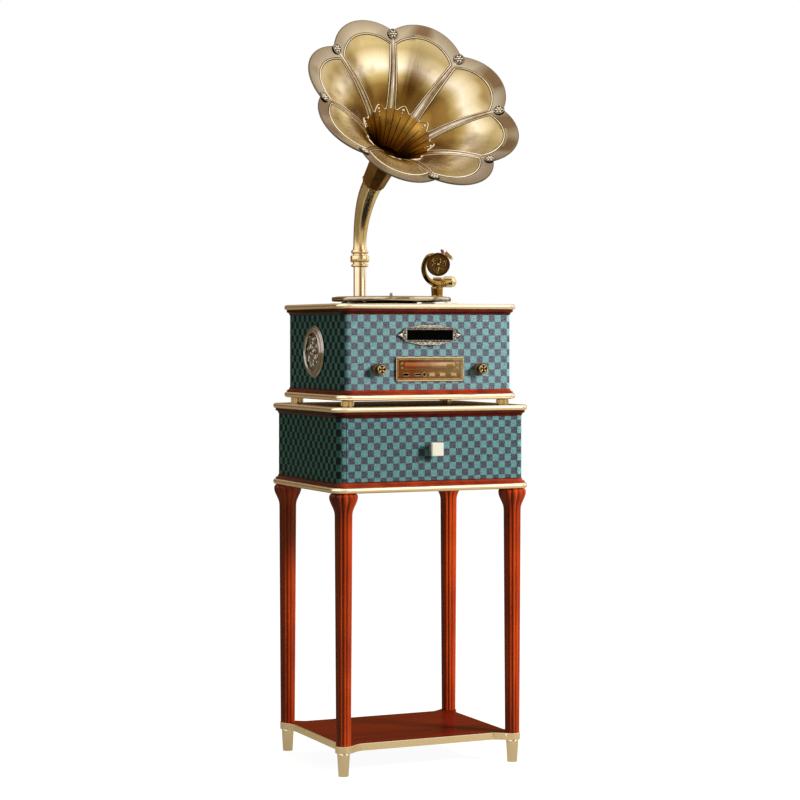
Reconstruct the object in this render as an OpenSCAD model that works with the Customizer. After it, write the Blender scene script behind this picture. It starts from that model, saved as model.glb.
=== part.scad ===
// Gramophone-style record player: a turntable cabinet with a petalled horn,
// standing on a one-drawer cabinet with four reeded legs and a low shelf.
// Millimetres, +Z up, origin on the floor under the middle, front towards -Y.

/* [Stand] */
// Height of a brass foot ferrule
ferrule_h = 52; // [35:1:80]
// Radius of a ferrule at the floor
ferrule_foot_r = 11.5; // [9:0.5:14]
// Radius of a ferrule under the shelf
ferrule_top_r = 14.5; // [12:0.5:16]
// Thickness of the shelf and of its brass edge
shelf_t = 16; // [12:1:24]
// Width of the brass edge band
band_w = 3; // [2:0.5:5]
// How far the shelf edge sweeps in behind the leg centres, front and back
shelf_sweep_front = 9; // [0:1:30]
// How far the shelf edge sweeps in behind the leg centres, left and right
shelf_sweep_side = 1; // [0:1:30]
// Length of the curve that leads into each sweep
shelf_ease = 50; // [30:1:90]
// Length of a leg between shelf and cabinet
leg_len = 567; // [400:1:700]
// Radius of a leg under its capital
leg_top_r = 20.5; // [18:0.5:23]
// Radius of a leg on the shelf
leg_foot_r = 17; // [15:0.5:18]
// Largest radius of a leg's lobed capital
capital_r = 32.8; // [28:0.2:36]
// Height of the capital
capital_h = 60; // [45:1:90]
// Number of reeds round a leg
reed_count = 12; // [8:2:16]
// Depth of the valleys between reeds
reed_depth = 2.6; // [1:0.1:3]
// Distance from a leg's centre to the faces of the lower cabinet
leg_inset = 20.5; // [18:0.5:30]
// Radius of the bolts that hold ferrule, shelf, leg and cabinet together
bolt_r = 4; // [3:0.5:5]
// Depth of a bolt in the leg
bolt_grip = 40; // [25:1:60]

/* [Lower cabinet] */
// Width of the lower cabinet's leather faces
lower_w = 466; // [440:1:520]
// Depth of the lower cabinet's leather faces
lower_d = 383; // [360:1:430]
// Height of the lower cabinet's leather band
lower_h = 145.5; // [120:0.5:200]
// Thickness of the drawer front
drawer_front_t = 14; // [10:1:18]
// Gap round the drawer front
drawer_gap = 1; // [0.5:0.1:2]
// Height of the drawer box
drawer_box_h = 100; // [60:1:112]
// Depth of the drawer box
drawer_box_d = 320; // [200:1:330]
// Wall of the drawer box
drawer_wall = 10; // [6:1:14]
// Thickness of the drawer's bottom
drawer_floor_t = 6; // [4:1:10]
// Width of a runner beside the drawer
runner_w = 13; // [8:1:18]
// Side of the square drawer knob
drawer_knob_w = 30; // [20:1:40]
// Stand-off of the drawer knob's face
drawer_knob_len = 24; // [16:1:34]

/* [Upper cabinet] */
// Width of the upper cabinet's leather faces
upper_w = 425; // [405:1:460]
// Depth of the upper cabinet's leather faces
upper_d = 342; // [336:1:380]
// Height of the upper cabinet's leather band
upper_h = 171.5; // [160:0.5:220]
// Height of the brass feet between the cabinets
cabinet_foot_h = 13.5; // [8:0.5:25]
// Radius of a cabinet foot
cabinet_foot_r = 15; // [10:0.5:18]
// Distance from a cabinet foot's centre to the cabinet faces
cabinet_foot_inset = 17; // [15:1:40]

/* [Cases and mouldings] */
// Radius of the cabinets' upright corners
corner_r = 18; // [15:0.5:24]
// Wall of the cabinets
wall = 12; // [9:0.5:14]
// How far the brass bullnose stands out from the leather
trim_out = 13.5; // [10:0.5:18]
// Height of the lower bullnose of a cabinet
base_trim_h = 13.5; // [10:0.5:18]
// Height of the upper bullnose of a cabinet
top_trim_h = 12.5; // [10:0.5:18]
// Height of the dark cove over the lower bullnose
base_cove_h = 10; // [8:0.5:14]
// Height of the dark cove under the upper bullnose
top_cove_h = 12; // [8:0.5:16]
// How far a cove stands out from the leather
cove_out = 8; // [5:0.5:10]

/* [Front fittings] */
// Width of the display window
window_w = 114; // [90:1:130]
// Height of the display window
window_h = 22; // [14:0.5:28]
// Height of the window's middle above the middle of the band
window_up = 39; // [32:1:45]
// Full length of the scrolled display frame
frame_len = 164; // [156:1:180]
// Full height of the scrolled display frame
frame_h = 53; // [46:1:56]
// Thickness of the display frame
frame_t = 5; // [3:0.5:8]
// Width of the control plate
plate_w = 170; // [160:1:185]
// Height of the control plate
plate_h = 55; // [48:1:60]
// Thickness of the control plate
plate_t = 4; // [3:0.5:6]
// Drop of the plate's middle below the middle of the band
plate_down = 39; // [36:1:46]
// Distance of each round knob from the nearer side of the cabinet
knob_inset = 85; // [62:0.5:102]
// Radius of a round knob
knob_r = 12.3; // [9:0.1:15]
// Length of a round knob
knob_len = 24; // [15:1:32]
// Travel of a push button
button_travel = 1.5; // [0.5:0.1:2]
// Radius of a side medallion
medallion_r = 60; // [50:1:70]
// Radius of the hole behind a medallion
speaker_hole_r = 40; // [30:1:45]

/* [Turntable] */
// Sideways place of the platter's centre
platter_x = -28; // [-30:0.1:-10]
// Place of the platter's centre, front to back
platter_y = -20; // [-24:1:-18]
// Radius of the platter
platter_r = 139; // [130:1:146]
// Thickness of the platter's rim
platter_t = 10; // [7:0.5:14]
// Gap between deck and platter
platter_gap = 7; // [6:0.5:10]
// Radius of the record spindle
spindle_r = 3.6; // [3.5:0.05:3.7]
// Height of the spindle above the mat
spindle_up = 9; // [6:0.5:14]
// Thickness of the mat
mat_t = 2.5; // [1.5:0.5:4]
// Radius of the ring that the belt drives
drive_r = 60; // [45:1:75]
// Radius of the motor pulley
pulley_r = 6; // [4:0.5:8]
// Distance from the platter's centre to the motor pulley
motor_dist = 115; // [100:1:122]

/* [Tone arm] */
// Distance from the arm's pivot post to the cabinet's right face
arm_inset = 62.5; // [54:0.5:66]
// Place of the arm's pivot post, front to back
arm_y = 105; // [95:1:115]
// Turn of the arm at rest, clockwise from straight ahead
arm_yaw = 24.3; // [0:0.1:35]
// Radius of the pivot post
post_r = 15; // [12:0.5:17]
// Height of the lift hinge above the deck
hinge_up = 57.5; // [50:0.5:66]
// Height of the sound box's centre above the lift hinge
head_up = 37; // [30:1:44]
// Reach of the arm from the post to the back of the sound box
arm_reach = 158; // [140:1:165]
// Radius of the coiled neck round the sound box
curl_r = 31; // [26:1:36]
// Radius of the arm's tube at its root
tube_root_r = 7.5; // [6:0.5:8.5]
// Radius of the arm's tube at its tip
tube_tip_r = 4.5; // [3:0.5:5.5]
// Radius of the sound box
box_r = 27.5; // [22:0.5:30]
// Thickness of the sound box
box_t = 12; // [8:0.5:16]
// Radius of the round weight at the arm's root
weight_r = 13.5; // [10:0.5:15]

/* [Horn] */
// Sideways place of the horn's pipe
pipe_x = -36; // [-45:1:-20]
// Place of the horn's pipe, front to back
pipe_y = 147; // [146:1:152]
// Outer radius of the straight pipe
pipe_r = 15; // [13:0.5:17]
// Wall of pipe, elbow and sockets
pipe_wall = 2; // [1.5:0.1:3]
// Height of the straight pipe above the deck
pipe_h = 91.5; // [70:0.5:140]
// Radius of the elbow's bend
elbow_bend = 179.4; // [150:0.1:230]
// Angle that the elbow turns through
elbow_turn = 53.7; // [35:0.1:75]
// Outer radius of the elbow at the horn end
elbow_end_r = 24; // [20:0.5:26]
// Length of the elbow's straight end, before the collar
elbow_tail = 14; // [4:1:24]
// Length of the eight-sided collar
collar_len = 80; // [60:1:110]
// Corner radius of the collar at its lower end
collar_low_r = 28.8; // [28:0.1:33]
// Corner radius of the collar at its upper end
collar_high_r = 34.5; // [33.5:0.1:38]
// Length of the bell from collar to petal notches
bell_len = 200; // [160:1:240]
// Inner radius of the bell at the collar
bell_neck_r = 30; // [28.5:0.5:31]
// Inner radius of the bell at the notches between petals
bell_mouth_r = 224; // [170:1:250]
// How far the petal tips reach past the notch circle
petal_out = 20; // [15:1:40]
// How fast the bell flares
flare = 1.65; // [1.2:0.05:2.2]
// How deep each petal is dished
petal_dish = 9; // [3:0.5:14]
// Turn of the bell about its own axis
petal_turn = -1.9; // [-22:0.1:22]
// Thickness of the horn's sheet metal
sheet_t = 1.6; // [1.2:0.1:2.5]
// Radius of the rolled rim
rim_r = 2.6; // [2:0.1:4]
// Number of petals
petals = 8; // [6:1:10]
// Radius of a rosette over a notch
rosette_r = 13; // [9:0.5:16]

/* [Fits] */
// Gap between pieces that seat on each other
seat = 0.3; // [0.2:0.05:0.4]
// Radial gap of a running fit
run_fit = 0.05; // [0.02:0.01:0.08]

/* [Hidden] */
$fn = 64;

brass = "#b59a5b";
pale_brass = "#c9b37a";
antique = "#6d5a33";
mahogany = "#8a2a14";
dark_wood = "#5a1510";
leather = "#4f8583";
black = "#151413";
silver = "#b9b7b0";

// Heights of the stack, from the floor up
shelf_z = ferrule_h;
leg_z = shelf_z + shelf_t;
lower_z = leg_z + leg_len;
lower_cove_z = lower_z + base_trim_h;
lower_case_z = lower_cove_z + base_cove_h;
lower_case_top = lower_case_z + lower_h;
lower_trim_z = lower_case_top + top_cove_h;
lower_top = lower_trim_z + top_trim_h;
upper_z = lower_top + cabinet_foot_h;
upper_cove_z = upper_z + base_trim_h;
upper_case_z = upper_cove_z + base_cove_h;
upper_case_top = upper_case_z + upper_h;
upper_trim_z = upper_case_top + top_cove_h;
deck_z = upper_trim_z + top_trim_h;
band_mid_z = upper_case_z + upper_h / 2;

knob_x = upper_w / 2 - knob_inset;
arm_x = upper_w / 2 - arm_inset;
leg_x = lower_w / 2 - leg_inset;
leg_y = lower_d / 2 - leg_inset;
front_y = -upper_d / 2;
sound_hole_r = 9;

// Exact rounded rectangle
module rounded_rect(w, d, r) {
    square([w - 2 * r, d], center = true);
    square([w, d - 2 * r], center = true);
    for (x = [-1, 1], y = [-1, 1]) translate([x * (w / 2 - r), y * (d / 2 - r)]) circle(r);
}

// Runs a profile round a rectangle: x = 0 is the centre of the corner arcs
module frame_moulding(w, d, r) {
    for (turn = [0 : 3]) {
        run_x = (turn % 2 == 0 ? w : d) / 2 - r;
        run_y = (turn % 2 == 0 ? d : w) / 2 - r;
        rotate([0, 0, 90 * turn]) translate([run_x, run_y, 0]) {
            rotate_extrude(angle = 90) children();
            rotate([90, 0, 0]) linear_extrude(2 * run_y) children();
        }
    }
}

module bullnose_profile(h) {
    reach = corner_r + trim_out - h / 2;
    translate([corner_r - wall, 0]) square([reach - corner_r + wall, h]);
    intersection() {
        translate([reach, h / 2]) circle(h / 2);
        translate([corner_r - wall, 0]) square([2 * trim_out + wall, h]);
    }
}

// Cove with its wide edge down; inside it runs on as a ledge for the boards
module cove_profile(h) {
    inner = 0.5;
    hollow = cove_out - 1.5;
    difference() {
        translate([inner, 0]) square([corner_r + cove_out - inner, h]);
        translate([corner_r + cove_out, h]) circle(hollow);
    }
}

module wide_down_cove(w, d, h) {
    frame_moulding(w, d, corner_r) cove_profile(h);
}

module wide_up_cove(w, d, h) {
    frame_moulding(w, d, corner_r) translate([0, h]) mirror([0, 1]) cove_profile(h);
}

// Board that fills the inside of a bullnose frame
module frame_board(w, d, h) {
    linear_extrude(h)
        rounded_rect(w - 2 * wall - 2 * seat, d - 2 * wall - 2 * seat, corner_r - wall - seat);
}

function unit(v) = v / norm(v);

// Closed skin over rings of equal length, capped at both ends
module skin(rings) {
    n = len(rings[0]);
    last = len(rings) - 1;
    polyhedron(
        points = [for (ring = rings) each ring],
        faces = concat(
            [[for (k = [0 : n - 1]) k]],
            [for (i = [0 : last - 1], k = [0 : n - 1]) let (m = (k + 1) % n)
                each [[i * n + k, (i + 1) * n + m, i * n + m],
                    [i * n + k, (i + 1) * n + k, (i + 1) * n + m]]],
            [[for (k = [n - 1 : -1 : 0]) last * n + k]]));
}

// Stand

module at_legs() {
    for (x = [-1, 1], y = [-1, 1]) translate([x * leg_x, y * leg_y, 0]) children();
}

module foot_ferrules() {
    color(pale_brass) at_legs() difference() {
        cylinder(h = ferrule_h, r1 = ferrule_foot_r, r2 = ferrule_top_r);
        translate([0, 0, ferrule_h - 32]) cylinder(h = 33, r = bolt_r + seat);
    }
}

function smooth(t) = let (c = max(0, min(1, t))) c * c * (3 - 2 * c);

// One swept side of the shelf, running from -half to +half, outwards towards -Y
function swept_side(half, mid, out) = [for (i = [0 : 28])
    let (x = i <= 14 ? -half + shelf_ease * i / 14 : half - shelf_ease * (28 - i) / 14)
    [x, -(mid + (out - mid) * smooth((abs(x) - half + shelf_ease) / shelf_ease))]];

function turned(points, a) = [for (p = points) [p.x * cos(a) - p.y * sin(a), p.x * sin(a) + p.y * cos(a)]];

function corner_arc(x, y, r, from) = [for (i = [1 : 7]) let (a = from + 90 * i / 8)
    [x + r * cos(a), y + r * sin(a)]];

// Outline at radius r round the leg centres: a swept side and a round corner, four times
function shelf_outline(r) = let (
        front = swept_side(leg_x, leg_y - shelf_sweep_front - leg_foot_r + r, leg_y + r),
        side = swept_side(leg_y, leg_x - shelf_sweep_side - leg_foot_r + r, leg_x + r))
    concat(
        front, corner_arc(leg_x, -leg_y, r, -90),
        turned(side, 90), corner_arc(leg_x, leg_y, r, 0),
        turned(front, 180), corner_arc(-leg_x, leg_y, r, 90),
        turned(side, 270), corner_arc(-leg_x, -leg_y, r, 180));

module shelf_board() {
    color(mahogany) translate([0, 0, shelf_z]) difference() {
        linear_extrude(shelf_t) polygon(shelf_outline(leg_foot_r + 1 - band_w));
        at_legs() translate([0, 0, -1]) cylinder(h = shelf_t + 2, r = bolt_r + seat);
    }
}

module shelf_edge_band() {
    color(pale_brass) translate([0, 0, shelf_z]) linear_extrude(shelf_t) difference() {
        polygon(shelf_outline(leg_foot_r + 1));
        polygon(shelf_outline(leg_foot_r + 1 - band_w));
    }
}

// Radius of the leg at a height above the shelf, over the crests of the reeds
function leg_r(z) = let (d = leg_len - z, t = d / capital_h,
        shaft = leg_foot_r + (leg_top_r - leg_foot_r) * z / leg_len)
    t >= 1 ? shaft
    : t > 0.16 ? shaft + (capital_r - shaft) * pow(cos(90 * (t - 0.16) / 0.84), 2.4)
    : capital_r - 3.4 * pow((0.16 - t) / 0.16, 2);

reed_sides = 4;

function leg_ring(z) = let (n = reed_count * reed_sides, r = leg_r(z))
    [for (k = [0 : n - 1]) let (a = 360 * k / n, across = abs(2 * (k % reed_sides) / reed_sides - 1),
        rho = r - reed_depth * (r / leg_top_r) * pow(across, 2.4)) [rho * cos(a), rho * sin(a), z]];

capital_steps = [1, 0.84, 0.7, 0.56, 0.44, 0.33, 0.24, 0.16, 0.1, 0.045, 0];

module leg(side_x, side_y) {
    color(mahogany) translate([side_x * leg_x, side_y * leg_y, leg_z]) difference() {
        skin(concat([leg_ring(0)], [for (t = capital_steps) leg_ring(leg_len - capital_h * t)]));
        translate([0, 0, -1]) cylinder(h = bolt_grip + 2, r = bolt_r + seat);
        translate([0, 0, leg_len - bolt_grip - 1]) cylinder(h = bolt_grip + 2, r = bolt_r + seat);
    }
}

module leg_front_left() { leg(-1, -1); }
module leg_front_right() { leg(1, -1); }
module leg_back_left() { leg(-1, 1); }
module leg_back_right() { leg(1, 1); }

module leg_bolts() {
    low_reach = 30;
    color(silver) at_legs() {
        translate([0, 0, ferrule_h - low_reach]) cylinder(h = low_reach + shelf_t + bolt_grip, r = bolt_r);
        translate([0, 0, lower_z - bolt_grip]) cylinder(h = bolt_grip + base_trim_h - 3, r = bolt_r);
    }
}

// Lower cabinet

module lower_base_trim() {
    color(brass) translate([0, 0, lower_z])
        frame_moulding(lower_w, lower_d, corner_r) bullnose_profile(base_trim_h);
}

module lower_base_cove() {
    color(dark_wood) translate([0, 0, lower_cove_z]) wide_down_cove(lower_w, lower_d, base_cove_h);
}

module lower_bottom_board() {
    color(dark_wood) translate([0, 0, lower_z]) difference() {
        frame_board(lower_w, lower_d, base_trim_h);
        at_legs() translate([0, 0, -1]) cylinder(h = base_trim_h - 1.5, r = bolt_r + seat);
    }
}

// Leather-covered walls with an opening between the front corners
module case_walls(w, d, h, front_t) {
    opening = w - 2 * corner_r;
    linear_extrude(h) difference() {
        rounded_rect(w, d, corner_r);
        rounded_rect(w - 2 * wall, d - 2 * wall, corner_r - wall);
        translate([-opening / 2, -d / 2 - 1]) square([opening, max(front_t, wall) + 2]);
    }
}

module lower_case() {
    color(leather) translate([0, 0, lower_case_z]) case_walls(lower_w, lower_d, lower_h, drawer_front_t);
}

module lower_top_cove() {
    color(dark_wood) translate([0, 0, lower_case_top]) wide_up_cove(lower_w, lower_d, top_cove_h);
}

module lower_top_trim() {
    color(brass) translate([0, 0, lower_trim_z])
        frame_moulding(lower_w, lower_d, corner_r) bullnose_profile(top_trim_h);
}

module lower_top_board() {
    color(black) translate([0, 0, lower_trim_z]) frame_board(lower_w, lower_d, top_trim_h);
}

drawer_screw_r = 3;
drawer_w = lower_w - 2 * wall - 2 * runner_w - 2 * seat;
drawer_z = lower_case_z + 8;
drawer_y = -lower_d / 2 + drawer_front_t;

// L-shaped rails that carry the drawer box by its lower edges
module drawer_runners() {
    rail_t = 3;
    rail_h = 40;
    rail_l = drawer_box_d - 12;
    color(silver) for (side = [0, 1]) mirror([side, 0, 0])
        translate([-lower_w / 2 + wall, drawer_y + 6, drawer_z - rail_t - seat]) {
            cube([runner_w + 8, rail_l, rail_t]);
            cube([rail_t, rail_l, rail_h]);
        }
}

module drawer_front() {
    w = lower_w - 2 * corner_r - 2 * drawer_gap;
    h = lower_h - 2 * drawer_gap;
    color(leather) translate([-w / 2, -lower_d / 2, lower_case_z + drawer_gap]) difference() {
        cube([w, drawer_front_t, h]);
        translate([w / 2, -1, h / 2]) rotate([-90, 0, 0])
            cylinder(h = drawer_front_t + 2, r = drawer_screw_r + seat);
    }
}

module drawer_box() {
    color("#b58a5e") translate([-drawer_w / 2, drawer_y, drawer_z]) difference() {
        cube([drawer_w, drawer_box_d, drawer_box_h]);
        translate([drawer_wall, drawer_wall, drawer_floor_t])
            cube([drawer_w - 2 * drawer_wall, drawer_box_d - 2 * drawer_wall, drawer_box_h]);
        translate([drawer_w / 2, -1, lower_case_z + lower_h / 2 - drawer_z])
            rotate([-90, 0, 0]) cylinder(h = drawer_wall + 2, r = drawer_screw_r + seat);
    }
}

// Square knob on a stepped stem, with its screw through front and box
module drawer_knob() {
    face_t = 8;
    stem = drawer_knob_len - face_t;
    half = drawer_knob_w / 2;
    through = drawer_front_t + drawer_wall;
    color("#e6dfc6") translate([0, -lower_d / 2, lower_case_z + lower_h / 2]) rotate([90, 0, 0]) {
        translate([0, 0, stem]) linear_extrude(face_t) rounded_rect(drawer_knob_w, drawer_knob_w, 2);
        translate([0, 0, stem + face_t]) linear_extrude(1.2)
            rounded_rect(drawer_knob_w - 4, drawer_knob_w - 4, 1.5);
        translate([0, 0, seat]) cylinder(h = 3, r = half * 0.7);
        translate([0, 0, seat]) cylinder(h = stem, r = half * 0.4);
        translate([0, 0, -through - 3]) cylinder(h = through + 4, r = drawer_screw_r);
        translate([0, 0, -through - seat - 3]) cylinder(h = 3, r = 2 * drawer_screw_r);
    }
}

// Upper cabinet

module cabinet_feet() {
    ribs = 16;
    rib_r = 1.6;
    neck_r = cabinet_foot_r - rib_r;
    foot_x = upper_w / 2 - cabinet_foot_inset;
    foot_y = upper_d / 2 - cabinet_foot_inset;
    color(brass) for (x = [-1, 1], y = [-1, 1])
        translate([x * foot_x, y * foot_y, lower_top]) {
            cylinder(h = cabinet_foot_h, r = neck_r);
            for (k = [0 : ribs - 1]) rotate([0, 0, 360 * k / ribs]) translate([neck_r, 0, 2])
                cylinder(h = cabinet_foot_h - 4, r = rib_r, $fn = 16);
        }
}

module upper_base_trim() {
    color(brass) translate([0, 0, upper_z])
        frame_moulding(upper_w, upper_d, corner_r) bullnose_profile(base_trim_h);
}

module upper_base_cove() {
    color(dark_wood) translate([0, 0, upper_cove_z]) wide_down_cove(upper_w, upper_d, base_cove_h);
}

module upper_bottom_board() {
    color(dark_wood) translate([0, 0, upper_z]) frame_board(upper_w, upper_d, base_trim_h);
}

back_w = upper_w - 2 * corner_r - 60;
back_h = upper_h - 50;
back_t = 4;

module upper_case() {
    rebate = 12;
    low_z = (upper_h - back_h) / 2;
    color(leather) translate([0, 0, upper_case_z]) difference() {
        case_walls(upper_w, upper_d, upper_h, wall);
        for (side = [-1, 1]) translate([side * (upper_w / 2 - wall - 1), 0, upper_h / 2])
            rotate([0, side * 90, 0]) cylinder(h = wall + 2, r = speaker_hole_r);
        translate([-back_w / 2, upper_d / 2 - back_t, low_z]) cube([back_w, back_t + 1, back_h]);
        translate([-back_w / 2 + rebate, upper_d / 2 - wall - 1, low_z + rebate])
            cube([back_w - 2 * rebate, wall + 2, back_h - 2 * rebate]);
    }
}

window_t = 3;
window_z = band_mid_z + window_up;
plate_z = band_mid_z - plate_down;
row_z = plate_z - 12;
button_x = [4, 30.5, 59];
button_w = 14;
button_h = 7;
stem_r = 2;
knob_shaft_r = 3;

// Sockets along the row: place, width and height; one as high as it is wide is round
ports = [[-60, 13, 5], [-30, 15, 3.2], [-13.7, 6.4, 6.4]];
port_depth = 8;

module port_hole(port, from, depth) {
    translate([port[0], from, row_z]) rotate([-90, 0, 0]) linear_extrude(depth)
        if (port[1] == port[2]) circle(port[1] / 2);
        else square([port[1], port[2]], center = true);
}

module front_panel() {
    w = upper_w - 2 * corner_r - 2 * seat;
    color(leather) difference() {
        translate([-w / 2, front_y, upper_case_z]) cube([w, wall, upper_h]);
        translate([-window_w / 2 - seat, front_y - 1, window_z - window_h / 2 - seat])
            cube([window_w + 2 * seat, window_t + 1, window_h + 2 * seat]);
        for (side = [-1, 1]) translate([side * knob_x, front_y - 1, plate_z]) rotate([-90, 0, 0])
            cylinder(h = wall + 2, r = knob_shaft_r + 0.5);
        for (x = button_x) translate([x, front_y - 1, row_z]) rotate([-90, 0, 0])
            cylinder(h = wall + 2, r = stem_r + 0.5);
        for (port = ports) port_hole(port, front_y - 1, wall + 2);
    }
}

module upper_top_cove() {
    color(dark_wood) translate([0, 0, upper_case_top]) wide_up_cove(upper_w, upper_d, top_cove_h);
}

module upper_top_trim() {
    color(brass) translate([0, 0, upper_trim_z])
        frame_moulding(upper_w, upper_d, corner_r) bullnose_profile(top_trim_h);
}

motor_a = 139;
motor_x = platter_x + motor_dist * cos(motor_a);
motor_y = platter_y + motor_dist * sin(motor_a);
housing_r = 9;
spigot_r = 9;

module deck_board() {
    color(dark_wood) translate([0, 0, upper_trim_z]) difference() {
        frame_board(upper_w, upper_d, top_trim_h);
        translate([platter_x, platter_y, -1]) cylinder(h = top_trim_h + 2, r = housing_r + seat);
        translate([motor_x, motor_y, -1]) cylinder(h = top_trim_h + 2, r = pulley_r + 1);
        translate([arm_x, arm_y, -1]) cylinder(h = top_trim_h + 2, r = spigot_r + seat);
        translate([pipe_x, pipe_y, -1]) cylinder(h = top_trim_h + 2, r = sound_hole_r);
    }
}

inlet_r = 2.8;

module back_panel() {
    w = back_w - 2 * seat;
    h = back_h - 2 * seat;
    inlet_x = 40 - w / 2;
    inlet_z = 35 - h / 2;
    color(black) translate([0, upper_d / 2, upper_case_z + upper_h / 2]) difference() {
        union() {
            translate([-w / 2, -back_t, -h / 2]) cube([w, back_t, h]);
            translate([inlet_x, -back_t, inlet_z]) rotate([90, 0, 0]) cylinder(h = 8, r = 6);
        }
        translate([inlet_x, 1, inlet_z]) rotate([90, 0, 0]) cylinder(h = 10, r = inlet_r);
        for (x = [-1, 1], z = [-1, 1]) translate([x * (w / 2 - 6), 1, z * (h / 2 - 6)]) rotate([90, 0, 0])
            cylinder(h = back_t + 2, r = 1.7);
    }
}

// Scalloped frame with pointed ends: its long edges rise towards the middle
module display_outline() {
    scallops = 6;
    lobe = 6;
    end_x = window_w / 2 + 9;
    end_y = window_h / 2 + 4;
    fall = frame_h / 2 - end_y - 1;
    for (side = [-1, 1], k = [-scallops : scallops]) let (t = k / scallops)
        translate([t * (end_x - lobe), side * (frame_h / 2 - lobe - fall * pow(abs(t), 1.4))]) circle(lobe);
    square([2 * end_x - 2, 2 * end_y - 3], center = true);
    for (side = [0, 1]) mirror([side, 0])
        polygon([[frame_len / 2, 0], [end_x - 2, end_y - 2], [end_x - 2, 2 - end_y]]);
}

module display_frame() {
    bezel = 1.8;
    color(silver) translate([0, front_y, window_z]) rotate([90, 0, 0]) {
        linear_extrude(frame_t - 2) difference() {
            display_outline();
            square([window_w, window_h], center = true);
        }
        linear_extrude(frame_t) difference() {
            square([window_w + 2 * bezel, window_h + 2 * bezel], center = true);
            square([window_w, window_h], center = true);
        }
    }
}

module display_window() {
    color(black) translate([-window_w / 2 + seat, front_y - 1, window_z - window_h / 2 + seat])
        cube([window_w - 2 * seat, window_t + 1 - seat, window_h - 2 * seat]);
}

plate_face_y = front_y - plate_t;

// Plate with a raised border, a sunk band above and the row of sockets and buttons below
module control_plate() {
    border = 5;
    band_l = 116;
    band_h = 16;
    color(brass) difference() {
        translate([0, front_y, plate_z]) rotate([90, 0, 0]) difference() {
            linear_extrude(plate_t) rounded_rect(plate_w, plate_h, 5);
            translate([0, 0, plate_t - 0.8]) linear_extrude(2)
                rounded_rect(plate_w - 2 * border, plate_h - 2 * border, 3);
            translate([-band_l / 2, 1, plate_t - 1.6]) cube([band_l, band_h, 3]);
            for (x = button_x) translate([x, row_z - plate_z, -1]) linear_extrude(plate_t + 2)
                square([button_w + 2 * seat, button_h + 2 * seat], center = true);
        }
        for (port = ports) port_hole(port, plate_face_y - 1, plate_t + 2);
    }
}

board_y = front_y + wall + 16;
board_t = 1.6;

module button(x) {
    proud = 2;
    color(pale_brass) translate([x, 0, row_z]) {
        translate([-button_w / 2, plate_face_y - proud, -button_h / 2]) cube([button_w, 3.4, button_h]);
        translate([0, plate_face_y - proud + 3, 0]) rotate([-90, 0, 0])
            cylinder(h = board_y - 4 - seat - button_travel - plate_face_y + proud - 3, r = stem_r);
    }
}

module button_source() { button(button_x[0]); }
module button_play() { button(button_x[1]); }
module button_next() { button(button_x[2]); }

// Stepped brass knob with its shaft through the panel
module round_knob(x) {
    flutes = 20;
    color(brass) translate([x, front_y - 0.5, plate_z]) rotate([90, 0, 0]) {
        difference() {
            cylinder(h = knob_len * 0.35, r = knob_r + 1.6);
            for (k = [0 : flutes - 1]) rotate([0, 0, 360 * k / flutes]) translate([knob_r + 2, 0, -1])
                cylinder(h = knob_len * 0.35 + 2, r = 0.9, $fn = 16);
        }
        cylinder(h = knob_len * 0.75, r = knob_r - 1.8);
        translate([0, 0, knob_len * 0.5]) cylinder(h = knob_len * 0.38, r = knob_r);
        translate([0, 0, knob_len * 0.88]) cylinder(h = knob_len * 0.12, r1 = knob_r, r2 = knob_r - 3);
        translate([0, 0, front_y - board_y - 0.5 + seat])
            cylinder(h = board_y - front_y + 1.5 - seat, r = knob_shaft_r);
    }
}

module volume_knob() { round_knob(-knob_x); }
module tuning_knob() { round_knob(knob_x); }

// Upright board behind the front: control bodies, switches, sockets, capacitors and a heat sink
module control_board() {
    pot_r = 9;
    shell = 1.5;
    board_h = upper_h - 24;
    board_w = 2 * knob_x + 40;
    behind_y = front_y + wall + seat;
    color("#2f5a3a") difference() {
        union() {
            translate([-board_w / 2, board_y, upper_case_z - base_cove_h + seat])
                cube([board_w, board_t, board_h]);
            for (side = [-1, 1]) translate([side * knob_x, behind_y, plate_z]) rotate([-90, 0, 0])
                cylinder(h = board_y - behind_y + 0.5, r = pot_r);
            for (x = button_x) translate([x - 4, board_y - 4, row_z - 4]) cube([8, 4.5, 8]);
            for (port = ports) translate([port[0], behind_y, row_z]) rotate([-90, 0, 0])
                linear_extrude(board_y - behind_y + 0.5)
                    square([port[1] + 2 * shell, port[2] + 2 * shell], center = true);
            for (x = [-40, 0, 40]) translate([x, board_y, window_z]) rotate([-90, 0, 0])
                cylinder(h = 22, r = 9);
            translate([70, board_y, window_z - 18]) cube([40, 26, 36]);
        }
        for (side = [-1, 1]) translate([side * knob_x, behind_y - 1, plate_z]) rotate([-90, 0, 0])
            cylinder(h = board_y - behind_y + 5, r = knob_shaft_r + run_fit);
        for (port = ports) port_hole(port, behind_y - 1, port_depth + 1);
    }
}

// Comma-shaped scroll
module scroll(r, w) {
    difference() {
        circle(r);
        circle(r - w);
        translate([0, -r]) square([r + 1, r]);
    }
    translate([r - w / 2 - w * 0.4, 0]) circle(w * 0.9);
}

// Stepped rings round a disc of pierced scrolls
module medallion() {
    steps = 4;
    depth = 10;
    color(silver) {
        rotate_extrude() difference() {
            union() for (k = [0 : steps - 1])
                translate([medallion_r - 17 + k * 3.4, 0]) square([17 - k * 3.4, depth - 2.2 * k]);
            translate([medallion_r, 0]) circle(1);
        }
        linear_extrude(2) difference() {
            circle(medallion_r - 16.8);
            for (k = [0 : 7]) rotate([0, 0, 45 * k + 22.5]) translate([26, 0]) circle(3.4);
        }
        linear_extrude(5) {
            for (k = [0 : 3]) rotate([0, 0, 90 * k]) translate([20, 9]) scroll(12, 4);
            for (k = [0 : 3]) rotate([0, 0, 90 * k + 45]) translate([33, 0]) circle(5);
        }
        cylinder(h = 6.5, r = 6);
    }
}

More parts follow.
